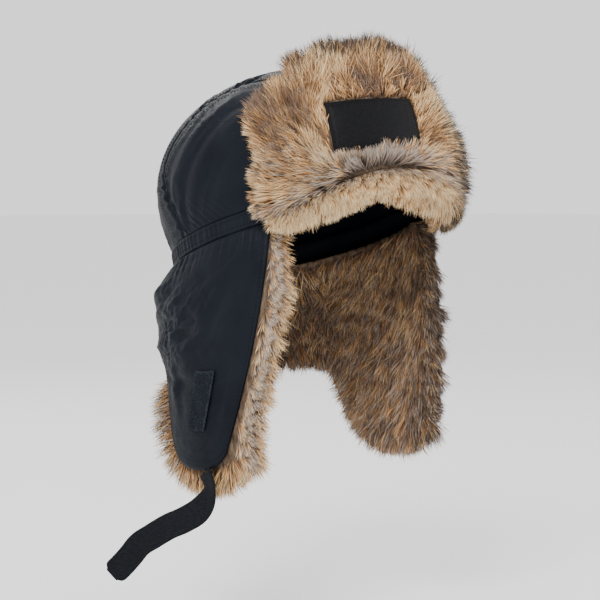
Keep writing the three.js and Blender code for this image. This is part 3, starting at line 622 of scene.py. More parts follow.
# Ear and neck flap ---------------------------------------------------------------------------
flap_hem = smooth_table([
    [58.6, 76.7, 0.92], [65.3, 81.4, 0.975], [73, 90, 1], [82, 99, 0.995], [90, 107, 0.955], [97, 112, 0.87],
    [104, 115, 0.76], [111, 117, 0.66], [119, 121, 0.59], [134, 134, 0.565], [156, 156, 0.57],
    [180, 180, 0.58]])
FLAP_FOLDS = [
    [126, 0.13, 0.13, 0.14, 0, 0.7], [112, 0.36, 0.16, 0.035, -12, -0.32], [104, 0.44, 0.14, 0.04, -50, 0.2],
    [118, 0.44, 0.12, 0.035, 20, -0.2], [80, 0.3, 0.14, 0.04, 62, -0.3], [100, 0.62, 0.12, 0.03, -8, -0.35],
    [142, 0.45, 0.13, 0.05, 8, -0.2], [175, 0.6, 0.15, 0.05, -6, -0.4]]


def flap_point(u, v, depth, spill=0.0):
    """The flap hangs from the band's seam to its hem: its angle, height and half sizes are mixed
    between the two, it swells by puff * sin(pi v^0.75), and folds and a spill past the edges are added."""
    side = np.where(u <= 0.5, 1, -1)
    half = np.where(u <= 0.5, 2 * u, 2 - 2 * u)
    hem = flap_hem(half)
    fall = np.clip(v, 0, 1)
    hem_row = np.clip(1 - (1 - v) * FLAP_ROWS, 0, 1)
    edge_column = np.clip(1 - 0.5 * half * FLAP_COLUMNS, 0, 1)
    before, after = flap_hem(half - 0.01), flap_hem(half + 0.01)
    past = unit(np.stack([(after[..., 2] - before[..., 2]) * -FLAP_DROP,
                          np.radians(after[..., 1] - before[..., 1]) * FLAP_HEM_HALF_WIDTH], axis=-1))
    past = past * (spill * hem_row)[..., None]
    sideways = past[..., 0] - spill * edge_column * np.sin(0.5 * np.pi * np.clip(4 * v, 0, 1))
    loose = np.where(side < 0, np.sin(0.5 * np.pi * np.clip(2 - 2 * half, 0, 1)) ** 2, 0)
    angle = mix(hem[..., 0], hem[..., 1] - LEFT_FLAP_TURN * loose, fall ** FRONT_EDGE_BEND)
    angle = angle + np.degrees(sideways / FLAP_HEM_HALF_WIDTH)
    seam = round_hat(hem[..., 0], BAND_HALF_WIDTH, BAND_HALF_DEPTH - depth, -SEAM_GAP)
    height = mix(seam[..., 2], -FLAP_DROP * hem[..., 2] * (1 - LEFT_FLAP_LIFT * loose), v) - past[..., 1]
    x, y = np.radians(angle) * FLAP_HEM_HALF_WIDTH, fall * hem[..., 2] * FLAP_DROP
    rows = [[math.radians(a) * FLAP_HEM_HALF_WIDTH, d * FLAP_DROP, length * FLAP_DROP, width * FLAP_DROP,
             slope, share * FLAP_PUFF] for a, d, length, width, slope, share in FLAP_FOLDS]
    out = FLAP_PUFF * (1 - LEFT_FLAP_CALM * loose) * np.sin(np.pi * fall ** 0.75) + folds(x, y, rows) * np.sin(np.pi * fall) ** 0.5
    out = out + LEFT_FLAP_FLARE * loose * fall ** 2 - depth - SPILL_LEAN * spill * hem_row
    half_width = mix(BAND_HALF_WIDTH, FLAP_HEM_HALF_WIDTH, v) + out
    half_depth = mix(BAND_HALF_DEPTH * COS_TILT, FLAP_HEM_HALF_DEPTH, v) + out
    turn = np.radians(angle)
    return points_of(-side * half_width * np.sin(turn),
                     -half_depth * np.cos(turn) - SEAM_GAP * SIN_TILT * (1 - v), height)


FLAP_CREASES = [
    # x round the flap and y down it, in millimetres, half length, half width, slope and height
    [228, 26, 14, 3.5, 24, 2.0], [210, 31, 16, 3, 20, -2.2], [196, 40, 14, 3, 36, 1.7],
    [204, 52, 16, 3, -12, -1.7], [186, 54, 12, 3, 48, 1.4], [176, 66, 13, 3, 30, -1.5],
    [192, 68, 12, 3, -20, 1.4], [168, 76, 12, 3, 12, 1.1], [228, 70, 20, 3.5, -8, 1.9],
    [204, 76, 26, 3, 14, -2.0], [184, 84, 16, 3, 4, 1.2], [146, 34, 30, 4, 46, 1.3],
    [158, 46, 26, 4, 44, -1.2], [195, 110, 5, 22, 8, 1.3], [186, 118, 5, 24, 8, -1.0],
    [137, 132, 4, 26, -12, 1.4], [146, 128, 4, 22, -12, -1.1], [236, 46, 18, 5, 10, 1.2],
    [238, 76, 28, 16, 0, 3.2],
]


def ear_neck_flap():
    """The flap's cloth: rounded rims, a line of stitching 5 mm in, and crumples behind the ear."""
    u, v = grid(300, 78)
    outer = flap_point(u, v, 0 * u)
    along, down = run(outer, 0), run(outer, 1)
    deep = down[:, -1:]
    hem = flap_hem(1 - np.abs(2 * u - 1))
    x = np.radians(mix(hem[..., 0], hem[..., 1], v ** FRONT_EDGE_BEND)) * FLAP_HEM_HALF_WIDTH
    ends = np.minimum(along, along[-1:] - along)
    rim = np.minimum(ends, deep - down)
    inside = np.clip(np.minimum(rim, down) / 14, 0, 1)
    crumple = np.exp(-((x - 190) / 30) ** 2 - ((down - 58) / 26) ** 2)
    relief = inside * (folds(x, down, FLAP_CREASES) * np.where(u <= 0.5, 1, 0.6)
                       + (0.8 + 2.2 * crumple) * wrinkles(along, down, 21, 34, 11, 24)
                       + (0.3 + 2.0 * crumple) * wrinkles(along, down, 27, 15, 6, -35))
    ring = np.hypot(x - 150, down - 45) - 7.5
    relief = relief - 0.5 * np.exp(-(ring / 1.3) ** 2) * (u <= 0.5)
    relief = relief + 0.7 * gathers(along[:, :1], down, 31, 8, 9, 1.0, 0.2)
    relief = np.maximum(relief - 1.1 * np.exp(-rim / 1.4) - 0.4 * np.exp(-((rim - 5) / 1.0) ** 2), -1.9)
    normal = normals_of(outer, np.array([0, 10, -60]))
    shown = outer + normal * relief[..., None]
    piece = wall("ear_neck_flap_cloth", shown, flap_point(u, v, FLAP_WALL + 0 * u), NYLON)
    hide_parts("ear_neck_flap")
    return [(shown[:, -4] + 0.1 * normal[:, -4], normal[:, -4]),
            (shown[3] + 0.1 * normal[3], normal[3]), (shown[-4] + 0.1 * normal[-4], normal[-4])]


# Front flap ----------------------------------------------------------------------------------
FRONT_FUR_BASE = FRONT_FLAP_WALL + BACKING_GAP
FUR_CORNER_WEAR, FUR_CORNER_ANGLE, FUR_SIDE_WEAR = 11, 45, 5.2
BROW_RISE, BROW_ANGLE = 5, 17


def front_height(angle):
    """The flap's height falls with the square of the angle."""
    return FRONT_FLAP_HEIGHT * (1 - FRONT_FLAP_CORNER_DROP * (angle / FRONT_FLAP_ANGLE) ** 2)


def front_reach(share):
    """The flap's half angle falls with the cube of the height."""
    return FRONT_FLAP_ANGLE * (1 - FRONT_FLAP_TAPER * np.clip(share, 0, 1) ** 3)


def front_flap_point(angle, up, out):
    """The turned-up flap opens from the band to past the crown by a quarter sine, and leans in again
    at its top by the fourth power of the height."""
    opened = np.sin(0.5 * np.pi * np.clip(up / (1.5 * CROWN_WAIST), 0, 1))
    past = out - FRONT_FLAP_TOP_LEAN * np.clip(up / FRONT_FLAP_HEIGHT, 0, None) ** 4 * (up <= FRONT_FLAP_HEIGHT) \
        - FRONT_FLAP_TOP_LEAN * (up > FRONT_FLAP_HEIGHT)
    foot = SEAM_GAP + FRONT_FLAP_STEP * np.clip(up / (0.4 * BAND_HEIGHT), 0, 1)
    half_width = mix(BAND_HALF_WIDTH + foot, CROWN_HALF_WIDTH + FRONT_FLAP_FLARE, opened) + past
    half_depth = mix(BAND_HALF_DEPTH + foot, CROWN_HALF_DEPTH + FRONT_FLAP_FLARE, opened) + past
    return round_hat(angle, half_width, half_depth, up)


def crease_height(angle):
    """The crease between the two furs falls to the roll's ends with a quarter sine's cube."""
    to_end = np.sin(0.5 * np.pi * np.clip(np.abs(angle) / FRONT_FLAP_ANGLE, 0, 1)) ** 3
    return (FOREHEAD_ROLL - FOREHEAD_DROP) * mix(1, FOREHEAD_END_SHARE, to_end)


def front_fur_place(u, v):
    """Angle and height of the fur's face, from the crease to 10 mm past the cloth's other edges. The
    corner by the wearer's right temple is worn down by a bell curve of the angle, and the side below it
    is worn in by two bell curves of the height."""
    angle = mix(1, -1, u) * (front_reach(v) + math.degrees(FUR_SPILL / CROWN_HALF_WIDTH))
    side = FUR_SIDE_WEAR * (np.exp(-((v - 0.44) / 0.16) ** 2) + 0.9 * np.exp(-((v - 0.97) / 0.14) ** 2))
    angle = angle - side * np.exp(-(u / 0.11) ** 2)
    worn = FUR_CORNER_WEAR * np.exp(-((angle - FUR_CORNER_ANGLE) / 7) ** 2)
    return angle, mix(crease_height(angle) + SEAM_GAP, front_height(angle) + FUR_SPILL - worn, v)


def front_fur_point(u, v, out):
    """The front fur's mat at a distance out from the flap's inner face."""
    angle, up = front_fur_place(u, v)
    return front_flap_point(angle, up, out)


def forehead_point(u, v, out):
    """The rolled fur between the opening and the turned-up flap, swollen by a half sine. Its lower
    edge rises over the brow by a bell curve of the angle."""
    angle = mix(1, -1, u) * (FRONT_FLAP_ANGLE + math.degrees(0.4 * FUR_SPILL / BAND_HALF_WIDTH))
    rise = BROW_RISE * np.exp(-((angle - BROW_ANGLE) / 13) ** 2)
    up = mix(crease_height(angle), rise - FOREHEAD_DROP, v)
    swell = 0.35 * FUR_MAT * np.sin(np.pi * np.clip(v, 0, 1)) * (out > FRONT_FUR_BASE)
    return front_flap_point(angle, up, out + swell)


def front_backing():
    """The cloth at the back of the turned-up flap."""
    u, v = grid(64, 34)
    angle = mix(1, -1, u) * front_reach(v)
    up = v * front_height(angle)
    inner = front_flap_point(angle, up, 0 * u)
    rim = np.minimum(np.minimum(run(inner, 0), run(inner[::-1], 0)[::-1]), run(inner[:, ::-1], 1)[:, ::-1])
    relief = -0.6 * np.exp(-rim / 1.5) + 0.12 * wrinkles(run(inner, 0), run(inner, 1), 41)
    outer = front_flap_point(angle, up, FRONT_FLAP_WALL + relief)
    piece = wall("front_flap_cloth", outer, inner, NYLON)
    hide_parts("front_flap")


def rounded(u, v, width, height, radius=9.0):
    """How far a mat of that size has swelled at u and v: a quarter circle's rise within radius of its rim."""
    rim = np.minimum(np.minimum(u, 1 - u) * width, np.minimum(v, 1 - v) * height)
    return np.sqrt(1 - (1 - np.clip(rim / radius, 0, 1)) ** 2)


def front_fur_strand(u, v, k):
    """The front fur's pile: k 0 at its ground, 1 at its face."""
    swell = 0.25 + 0.75 * rounded(u, mix(0.045, 1, v), 235, 95)
    return front_fur_point(u, v, FRONT_FUR_BASE + 0.01 + FUR_MAT * k * swell)


def forehead_strand(u, v, k):
    """The forehead roll's pile."""
    swell = 0.25 + 0.75 * rounded(u, mix(0.15, 1, v), 215, 25, 7)
    return forehead_point(u, v, FRONT_FUR_BASE + 0.01 + FUR_MAT * k * swell)


def flap_strand(u, v, k):
    """The lining's pile, which grows inwards from the flap."""
    hem_row = np.clip((1 - v) * 11, 0, 1)
    edge = np.clip(np.minimum(u, 1 - u) * 70, 0, 1)
    swell = 0.45 + 0.55 * np.sqrt(1 - (1 - np.minimum(hem_row, edge)) ** 2)
    spill = FUR_SPILL * np.where(u > 0.5, 0.55, 1.0)
    return flap_point(u, v, FLAP_WALL + BACKING_GAP + FUR_MAT * k * swell, spill)


def fur_mats():
    """The dense lower pile of each fur piece, with rounded rims and uneven tufts."""
    for name, point, columns, rows, seed, node in (
            ("front_flap_fur_mat", front_fur_strand, 96, 40, 51, "front_flap_fur"),
            ("forehead_fur_mat", forehead_strand, 90, 16, 52, "forehead_fur"),
            ("flap_fur_mat", flap_strand, 200, 40, 53, "flap_fur")):
        u, v = grid(columns, rows)
        face = 0.9 + 0.1 * noise(u * columns / 3, v * rows / 3, seed)
        piece = wall(name, point(u, v, face), point(u, v, 0 * u), GROUND_PAINTED_SHADE)
        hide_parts(node)


# Fur strands ---------------------------------------------------------------------------------
def strands(name, point, places, coat, seed, cells, width=0.7, segments=4, pull=0.5):
    """Fur as tapered ribbons. Roots lie at places u, v and k of a surface point(u, v, k), where k goes
    out through the pile. The coat gives each strand its combed direction, its lift, length, stiffness
    at the surface and tone. A strand sets off between the outward and the combed direction and bends
    to lie along the comb. Strands of one cell draw together by the share pull towards the lock's
    middle, and share a turn, a length and a tone."""
    random = np.random.default_rng(seed)
    u, v, k = places
    count = len(u)
    step = 0.004
    root = point(u, v, k)
    out = unit(point(u, v, k + 0.3) - point(u, v, k - 0.3))
    side = unit(point(u + step, v, k) - point(u - step, v, k))
    fall = unit(point(u, v + step, k) - point(u, v - step, k))
    # The nearest of the jittered lock centres
    best, centre_u, centre_v = np.full(count, 1e9), u.copy(), v.copy()
    for di in (-1, 0, 1):
        for dj in (-1, 0, 1):
            i, j = np.floor(u * cells[0]) + di, np.floor(v * cells[1]) + dj
            shift = [np.sin(i * 91.7 + j * 47.3 + seed + salt) * 9631.7 for salt in (0, 5)]
            cu = np.clip((i + 0.5 + 0.8 * (shift[0] - np.floor(shift[0]) - 0.5)) / cells[0], 0, 1)
            cv = np.clip((j + 0.5 + 0.8 * (shift[1] - np.floor(shift[1]) - 0.5)) / cells[1], 0, 1)
            gap = ((u - cu) * cells[0]) ** 2 + ((v - cv) * cells[1]) ** 2
            closer = gap < best
            best = np.where(closer, gap, best)
            centre_u, centre_v = np.where(closer, cu, centre_u), np.where(closer, cv, centre_v)
    lock = np.sin(np.floor(centre_u * 9973) * 12.9 + np.floor(centre_v * 7919) * 78.2) * 43758.5
    lock = lock - np.floor(lock)
    combed, lift, lie, long, tone = coat(u, v, k, side, fall, out, lock, random)
    beside = unit(np.cross(out, combed))
    turn = 0.32 * np.sin(lock * 97.3) + 0.3 * noise(u * cells[0] / 3, v * cells[1] / 3, seed + 3)
    turn = turn + 0.2 * random.normal(size=count)
    combed = unit(combed + beside * turn[:, None])
    stray = random.normal(size=(count, 3)) * 0.1
    start = unit(out * lift[:, None] + combed * (1 - 0.5 * lift)[:, None] + stray)
    end = unit(out * lie[:, None] + combed + stray * 1.5)
    long = long * (0.75 + 0.25 * lock + 0.25 * random.random(count))
    tuft = point(centre_u, centre_v, k) - root
    reach = np.linalg.norm(tuft, axis=1, keepdims=True)
    tuft = tuft * np.minimum(1, 8 / np.maximum(reach, 1e-6))
    shares = np.linspace(0, 1, segments + 1)
    line, heads = [root], []
    for part in range(segments):
        middle = (part + 0.5) / segments
        head = unit(start * (1 - middle) + end * middle)
        heads.append(head)
        gather = tuft * pull * (shares[part + 1] ** 1.3 - shares[part] ** 1.3)
        line.append(line[-1] + head * (long / segments)[:, None] + gather)
    # A strand that sets off outwards never sinks more than 4 mm under its root
    for part in range(1, segments + 1):
        sunk = np.minimum(np.sum((line[part] - root) * out, axis=1) + 4, 0)
        line[part] = line[part] - out * np.where(lift > 0.2, sunk, 0)[:, None]
    facing = unit(out + random.normal(size=(count, 3)) * 0.7)
    thick = width * (0.7 + 0.6 * random.random(count))
    verts, tall = [], []
    for part in range(segments):
        across = unit(np.cross(heads[part], facing)) * (0.5 * thick * (1 - shares[part] ** 2.4))[:, None]
        verts += [line[part] - across, line[part] + across]
        tall += [shares[part]] * 2
    verts.append(line[-1])
    tall.append(1.0)
    points = np.stack(verts, axis=1)
    each = points.shape[1]
    one = []
    for part in range(segments - 1):
        one += [[2 * part, 2 * part + 1, 2 * part + 3], [2 * part, 2 * part + 3, 2 * part + 2]]
    one.append([2 * segments - 2, 2 * segments - 1, 2 * segments])
    faces = (np.array(one)[None] + each * np.arange(count)[:, None, None]).reshape(-1, 3)
    uvs = np.stack([np.repeat(np.clip(tone, 0.02, 0.98)[:, None], each, axis=1),
                    np.repeat(np.array(tall)[None], count, axis=0)], axis=-1)
    piece = new_piece(name, points.reshape(-1, 3), faces, PILE, uvs.reshape(-1, 2), "OFBake")


def scattered(count, seed, u=(0, 1), v=(0, 1), k=(0.3, 0.7), keep=None):
    """Random places within ranges of u, v and k, without those that keep(u, v) refuses."""
    random = np.random.default_rng(seed)
    parts = [random.uniform(low, high, count) for low, high in (u, v, k)]
    if keep is None:
        return parts
    stays = keep(parts[0], parts[1])
    return [part[stays] for part in parts]


def tone_of(paler, lock, random, dark_tips=0.0):
    """Tan, browner or paler by lock, by strand and by the patch's share, some with dark grey tips."""
    tone = 0.52 + 0.32 * (lock - 0.5) + 0.15 * random.normal(size=len(lock)) + paler
    return np.where(random.random(len(lock)) < dark_tips, 0.96, np.clip(tone, 0.26, 0.8))


def label_place(u, v):
    """Millimetres to the wearer's left of and above the label's middle, on the front fur."""
    angle, up = front_fur_place(u, v)
    return -np.radians(angle - LABEL_ANGLE) * (CROWN_HALF_WIDTH + FUR_MAT), up - LABEL_MIDDLE


def beside_label(u, v):
    """The distance from the label's rim, 0 under it."""
    x, y = label_place(u, v)
    return np.hypot(np.maximum(np.abs(x) - 0.5 * LABEL_WIDTH, 0), np.maximum(np.abs(y) - 0.5 * LABEL_HEIGHT, 0))


FRONT_PATCHES = [
    # x and y in millimetres from the label's middle, half length, half width, slope, and how much paler
    [-72, 15, 22, 9, 118, -0.42], [-45, -6, 15, 5, 118, -0.4], [-53, 18, 13, 5, 120, -0.34],
    [-48, 40, 11, 5, 115, -0.3], [-87, 10, 22, 5, 100, 0.3], [-36, 30, 14, 7, 112, 0.24],
    [-26, 42, 12, 6, 100, 0.26], [-43, -21, 13, 7, 130, 0.3], [4, 27, 38, 7, 0, -0.34],
    [30, 44, 15, 5, 90, -0.34], [-6, 48, 14, 4, 90, -0.3], [14, 44, 12, 4, 90, 0.1], [60, 2, 15, 8, -10, 0.3],
    [40, -26, 22, 5, 12, 0.2], [92, -38, 22, 9, -30, -0.3], [-62, -14, 20, 5, 125, -0.2]]
FRONT_GREYS = [
    # the same columns, and the share of grey hair
    [-8, -27, 28, 9, 8, 1.0], [-70, -24, 16, 7, 0, 0.55], [-90, -12, 8, 18, 0, 0.4]]


def front_coat(u, v, k, side, fall, out, lock, random):
    """Combed steeply outwards and up on the wearer's right, up over the label, out and then down on the
    wearer's left. It is short round the label, ends at the near border, stands up at the crest and on
    the wearer's left lies sleek above and stands off in tufts below."""
    x, y = label_place(u, v)
    up = y + LABEL_MIDDLE - crease_height(front_fur_place(u, v)[0])
    sideways = np.where(x < 0, 0.55 * x - 3, x + 4)
    rise = y + 50 - 0.8 * np.maximum(x - 30, 0)
    combed = unit(side * sideways[:, None] + fall * rise[:, None])
    steep = np.hypot(sideways, rise)
    room = np.where(x < 0, u * 235 * steep / np.maximum(np.abs(sideways), 0.15 * steep), 99)
    room_above = (1 - v) * 95 * steep / np.maximum(rise, 0.15 * steep)
    near = np.clip(beside_label(u, v) / 14, 0, 1)
    crease = np.clip(up / 16, 0, 1)
    crest = np.clip((v - 0.8) * 6, 0, 1) * np.clip((x + 58) / 10, 0, 1) * np.clip((48 - x) / 12, 0, 1)
    far = np.clip((u - 0.61) / 0.1, 0, 1)
    tuft = far * np.clip((8 - y) / 12, 0, 1)
    sleek = far - tuft
    lift = mix(0.75, mix(0.75, 0.7, crease), near) * (1 - 0.6 * sleek) * np.clip(0.4 + 6 * u, 0, 1) + 0.1 * tuft
    long = 21 * mix(0.36, 1, near) * mix(0.75, 1, crease) * (1 - 0.35 * sleek)
    long = np.where((x < -54) | (x > 44), np.minimum(long, 2 + room_above), np.minimum(long, 15 + room_above))
    long = np.minimum(long, 1 + 0.85 * room)
    under_label = (y < -0.5 * LABEL_HEIGHT) & (np.abs(x) < 0.5 * LABEL_WIDTH)
    sweep = np.where((x > 0) & (x < 34), 9, 2.5)
    long = np.where(under_label, np.minimum(long, sweep - 0.5 * LABEL_HEIGHT - y), long)
    paler = folds(x, y, FRONT_PATCHES) + 0.16 * noise(x / 9 + y / 16, y / 15, 5)
    tone = tone_of(paler, lock, random, 0.1 + np.maximum(0.75 * crest, 0.65 * far))
    grey = np.exp(-(up / 6) ** 2) + folds(x, y, FRONT_GREYS)
    tone = np.where(random.random(len(u)) < 0.8 * grey, 0.1 + 0.12 * random.random(len(u)), tone)
    return combed, lift, 0.25 * near + 0.05 + 0.15 * (tuft - sleek), long, tone


def guard_coat(u, v, k, side, fall, out, lock, random):
    """Long guard hairs with dark grey tips, drawn into points that stand off the pile."""
    combed, lift, lie, long, tone = front_coat(u, v, k, side, fall, out, lock, random)
    tone = np.where(random.random(len(u)) < 0.85, 0.96, tone)
    return combed, lift, lie + 0.35, np.where(u > 0.73, 18, 12) + 7 * lock, tone


def forehead_coat(u, v, k, side, fall, out, lock, random):
    """Down from the crease, out to the sides at the roll's ends, and short over the brow."""
    sideways = 1.3 * np.maximum(u - 0.36, -0.12) - 0.05
    hangs = (u > 0.84) & (lock > 0.4)
    combed = unit(side * np.where(hangs, -0.15, sideways)[:, None] + fall)
    long = 7 + 8 * np.clip(np.abs(u - 0.36) / 0.24, 0, 1) * np.clip(u / 0.1, 0.3, 1)
    long = long - 3 * np.clip((u - 0.84) * 10, 0, 1)
    lift = 0.35 + 0.35 * v + 0.5 * np.exp(-(v / 0.12) ** 2)
    # The roll's base tone is paler than the front fur's: partly the fur's own cream and partly painted light on the
    # lit brow.
    paler = 0.3 + 0.14 * noise(u * 18, v * 2, 6) - 0.35 * np.clip((u - 0.6) * 4, 0, 1)
    tone = tone_of(paler, lock, random, 0.05 + 0.7 * np.clip((u - 0.66) * 7, 0, 1))
    grey = 0.7 * np.exp(-(v / 0.12) ** 2)
    tone = np.where(random.random(len(u)) < grey, 0.1 + 0.12 * random.random(len(u)), tone)
    return combed, lift, 0.1 + 0.15 * (1 - v), long, tone


def roll_end_coat(u, v, k, side, fall, out, lock, random):
    """Hair under the roll's far end, which hangs down and in over the flap's top corner."""
    combed = unit(fall + np.array([0, 0, -0.8]) - side * 0.2)
    return combed, 0 * u, -0.35 + 0 * u, 12 + 0 * u, tone_of(-0.12 + 0 * u, lock, random, 0.2)


def past_flap(u, v):
    """Out of the flap's border, in its own surface."""
    return unit(flap_point(u, v, 6.0, FUR_SPILL) - flap_point(u, v, 6.0) + [0, 0, -1e-3])


def lining_coat(u, v, k, side, fall, out, lock, random):
    """Down the flap, leaning inwards over the ears and forwards near the front edges."""
    toward = np.where(u < 0.5, -1, 1) * np.exp(-np.minimum(u, 1 - u) / 0.05)
    combed = unit(fall * (1 - 0.3 * np.abs(toward))[:, None] + side * (0.9 * toward)[:, None])
    # On the wearer's left flap the lining is painted darker, more so towards the hem: painted shade of the far flap's
    # inner face.
    paler = np.where(u > 0.5, -0.04 - 0.16 * v, -0.02) + 0.14 * noise(u * 60, v * 8, 7)
    tone = tone_of(paler, lock, random, 0.2)
    grey = (u > 0.5) & (random.random(len(u)) < 0.3)
    tone = np.where(grey, 0.12 + 0.1 * random.random(len(u)), tone)
    return combed, 0.6 + 0 * u, 0.25 + 0 * u, 17 + 0 * u, tone


def border_coat(u, v, k, side, fall, out, lock, random):
    """Out past the flap's border and down. By the nylon's front edge the fur is short and grey, further
    in it is longer and paler. Behind the ear it stands out from the nylon in long tufts. The wearer's
    left flap is darker, in tufts with grey tips: partly the fur's own colour and partly painted shade of
    the far flap."""
    edge = np.minimum(u, 1 - u)
    front = np.clip(1 - edge / 0.02, 0, 1)
    behind = np.exp(-((edge - 0.27) / 0.09) ** 2)
    outward = 0.5 * (k - 0.4) - 1.4 * behind * np.clip(1.2 - k, 0, 1)
    forward = side * (np.where(u > 0.5, 1, -1) * front * np.clip(1 - 5 * v, 0, 1))[:, None]
    combed = unit(0.7 * past_flap(u, v) + np.array([0, 0, -0.8]) + out * outward[:, None] + forward)
    face = k < 0.06
    flat = face & ((edge > 0.0098) | (v > 0.93))
    inner = np.clip((k - 0.35) / 0.4, 0, 1)
    long = mix(mix(14 + 10 * behind, 7, front), 16, inner)
    long = np.where(u > 0.5, 11 + 11 * front * lock ** 2, long)
    tone = tone_of(0.14 + 0.1 * noise(u * 90, v * 12, 8), lock, random, 0.15 + 0.4 * behind)
    grey = front * (1 - inner)
    tone = np.where(random.random(len(u)) < 0.9 * grey, 0.08 + 0.14 * random.random(len(u)), tone)
    # On the wearer's left flap most strands get dark grey tips, dark brown or grey. This is partly the fur's own
    # colour and partly painted shade of the far flap.
    darker = (u > 0.5) & (random.random(len(u)) < 0.8)
    pick = random.random(len(u))
    tone = np.where(darker, np.where(pick < 0.45, 0.97, np.where(pick < 0.75, 0.3, 0.14)), tone)
    behind_grey = (random.random(len(u)) < 0.55 * behind * (1 - v)) | (random.random(len(u)) < 0.4 * behind)
    tone = np.where(behind_grey, 0.1 + 0.12 * random.random(len(u)), tone)
    lift = np.where(flat, -0.15, np.where(face, -0.5, 0.0))
    return combed, lift, np.where(face, -0.12, 0.1 * (k - 0.5)), long, tone


def border_places(count, seed):
    """Places along the flap's border: down the two front edges and their outer faces, and the hem."""
    random = np.random.default_rng(seed)
    part, along, k, inset = (random.random(count) for _ in range(4))
    hem_face = part > 0.88
    front = part < 0.56
    face = (part < 0.24) | hem_face
    aside = np.where(face, 0.0098 + 0.007 * np.clip(3 * along - 2, 0, 1), 0.004) * inset
    right = random.random(count) < 0.5
    u = np.where(front, np.where(right, aside, 1 - aside), along)
    v = np.where(front, along, 1 - np.where(hem_face, 0.05, 0.02) * inset)
    return [u, v, np.where(face, 0.05 * k, 0.02 + 0.96 * k)]


def grow_fur():
    """All strands, of 7 or 5 triangles each."""
    clear = lambda u, v: beside_label(u, v) > 0.2
    for name, low, high, seed in (("right", 0.02, 0.5, 11), ("left", 0.5, 0.985, 12)):
        strands("front_flap_fur_strands_" + name, front_fur_strand,
                scattered(28000, seed, (low, high), (0.01, 0.985), (0.55, 1.0), clear), front_coat, seed,
                (26, 15), 0.6, pull=0.7)
    edges = lambda u, v: ((v > 0.92) & (u > 0.24) & (u < 0.72)) | ((u > 0.68) & (v > 0.05) & ((v < 0.92) | (u > 0.72)))
    strands("front_flap_fur_guard_hairs", front_fur_strand,
            scattered(16000, 18, (0.2, 0.985), (0.01, 0.985), (0.7, 1.0), edges), guard_coat, 18, (34, 17),
            0.8, pull=0.9)
    strands("forehead_fur_strands", forehead_strand, scattered(24000, 13, (0.03, 1), (0.0, 0.9), (0.5, 1.0)),
            forehead_coat, 13, (34, 4), 0.6, segments=3, pull=0.6)
    strands("forehead_fur_far_end", forehead_strand, scattered(4000, 19, (0.72, 1.0), (0.84, 1.0), (0.0, 0.6)),
            roll_end_coat, 19, (34, 4), 0.6, segments=3, pull=0.6)
    for name, low, high, count, seed in (("right", 0.0, 0.34, 20000, 14), ("back", 0.34, 0.66, 12000, 15),
                                         ("left", 0.66, 1.0, 22000, 16)):
        strands("flap_fur_strands_" + name, flap_strand, scattered(count, seed, (low, high)), lining_coat, seed,
                (70, 14), segments=3)
    strands("flap_fur_border", flap_strand, border_places(30000, 17), border_coat, 17, (110, 20), 0.6,
            segments=3, pull=0.7)


# Label, tapes and strap ----------------------------------------------------------------------
def label():
    """The bare label: a flat woven patch, pressed down along its sewn border."""
    u, v = grid(72, 38)
    half = math.degrees(0.5 * LABEL_WIDTH / (CROWN_HALF_WIDTH + FUR_MAT))
    base = FRONT_FUR_BASE + FUR_MAT + SEAM_GAP
    rim = np.minimum(np.minimum(u, 1 - u) * LABEL_WIDTH, np.minimum(v, 1 - v) * LABEL_HEIGHT)
    swell = 0.9 * np.clip(rim / 9, 0, 1) ** 0.6 - 0.5 * np.exp(-((rim - 2.2) / 0.7) ** 2)
    swell = swell + 0.35 * wrinkles(u * LABEL_WIDTH, v * LABEL_HEIGHT, 61, 30, 12, 12) * np.clip(rim / 6, 0, 1)
    at = lambda out: front_flap_point(LABEL_ANGLE + mix(half, -half, u),
                                      LABEL_MIDDLE + mix(-0.5, 0.5, v) * LABEL_HEIGHT, base + out)
    outer, inner = at(LABEL_WALL - 0.5 + swell), at(0 * u)
    piece = wall("label_patch", outer, inner, SATIN)
    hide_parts("label")
    normal = normals_of(outer, HAT_MIDDLE)
    ring = [outer[2:-2, 2], outer[-3, 2:-2], outer[2:-2, -3][::-1], outer[2, 2:-2][::-1]]
    ring_normal = [normal[2:-2, 2], normal[-3, 2:-2], normal[2:-2, -3][::-1], normal[2, 2:-2][::-1]]
    return [(np.concatenate(ring) + 0.1 * np.concatenate(ring_normal), np.concatenate(ring_normal))]


def tape_place(middle_u):
    """How the tape's own millimetres lie on the flap."""
    spot = lambda u, v: flap_point(np.array([u]), np.array([v]), np.array([0.0]))[0]
    middle = spot(middle_u, LOOP_TAPE_V)
    per_u = np.linalg.norm(spot(middle_u + 0.01, LOOP_TAPE_V) - middle) / 0.01
    per_v = np.linalg.norm(spot(middle_u, LOOP_TAPE_V + 0.01) - middle) / 0.01
    return lambda across, down, out: flap_point(middle_u + across / per_u, LOOP_TAPE_V + down / per_v,
                                                -TAPE_CLEARANCE - out)


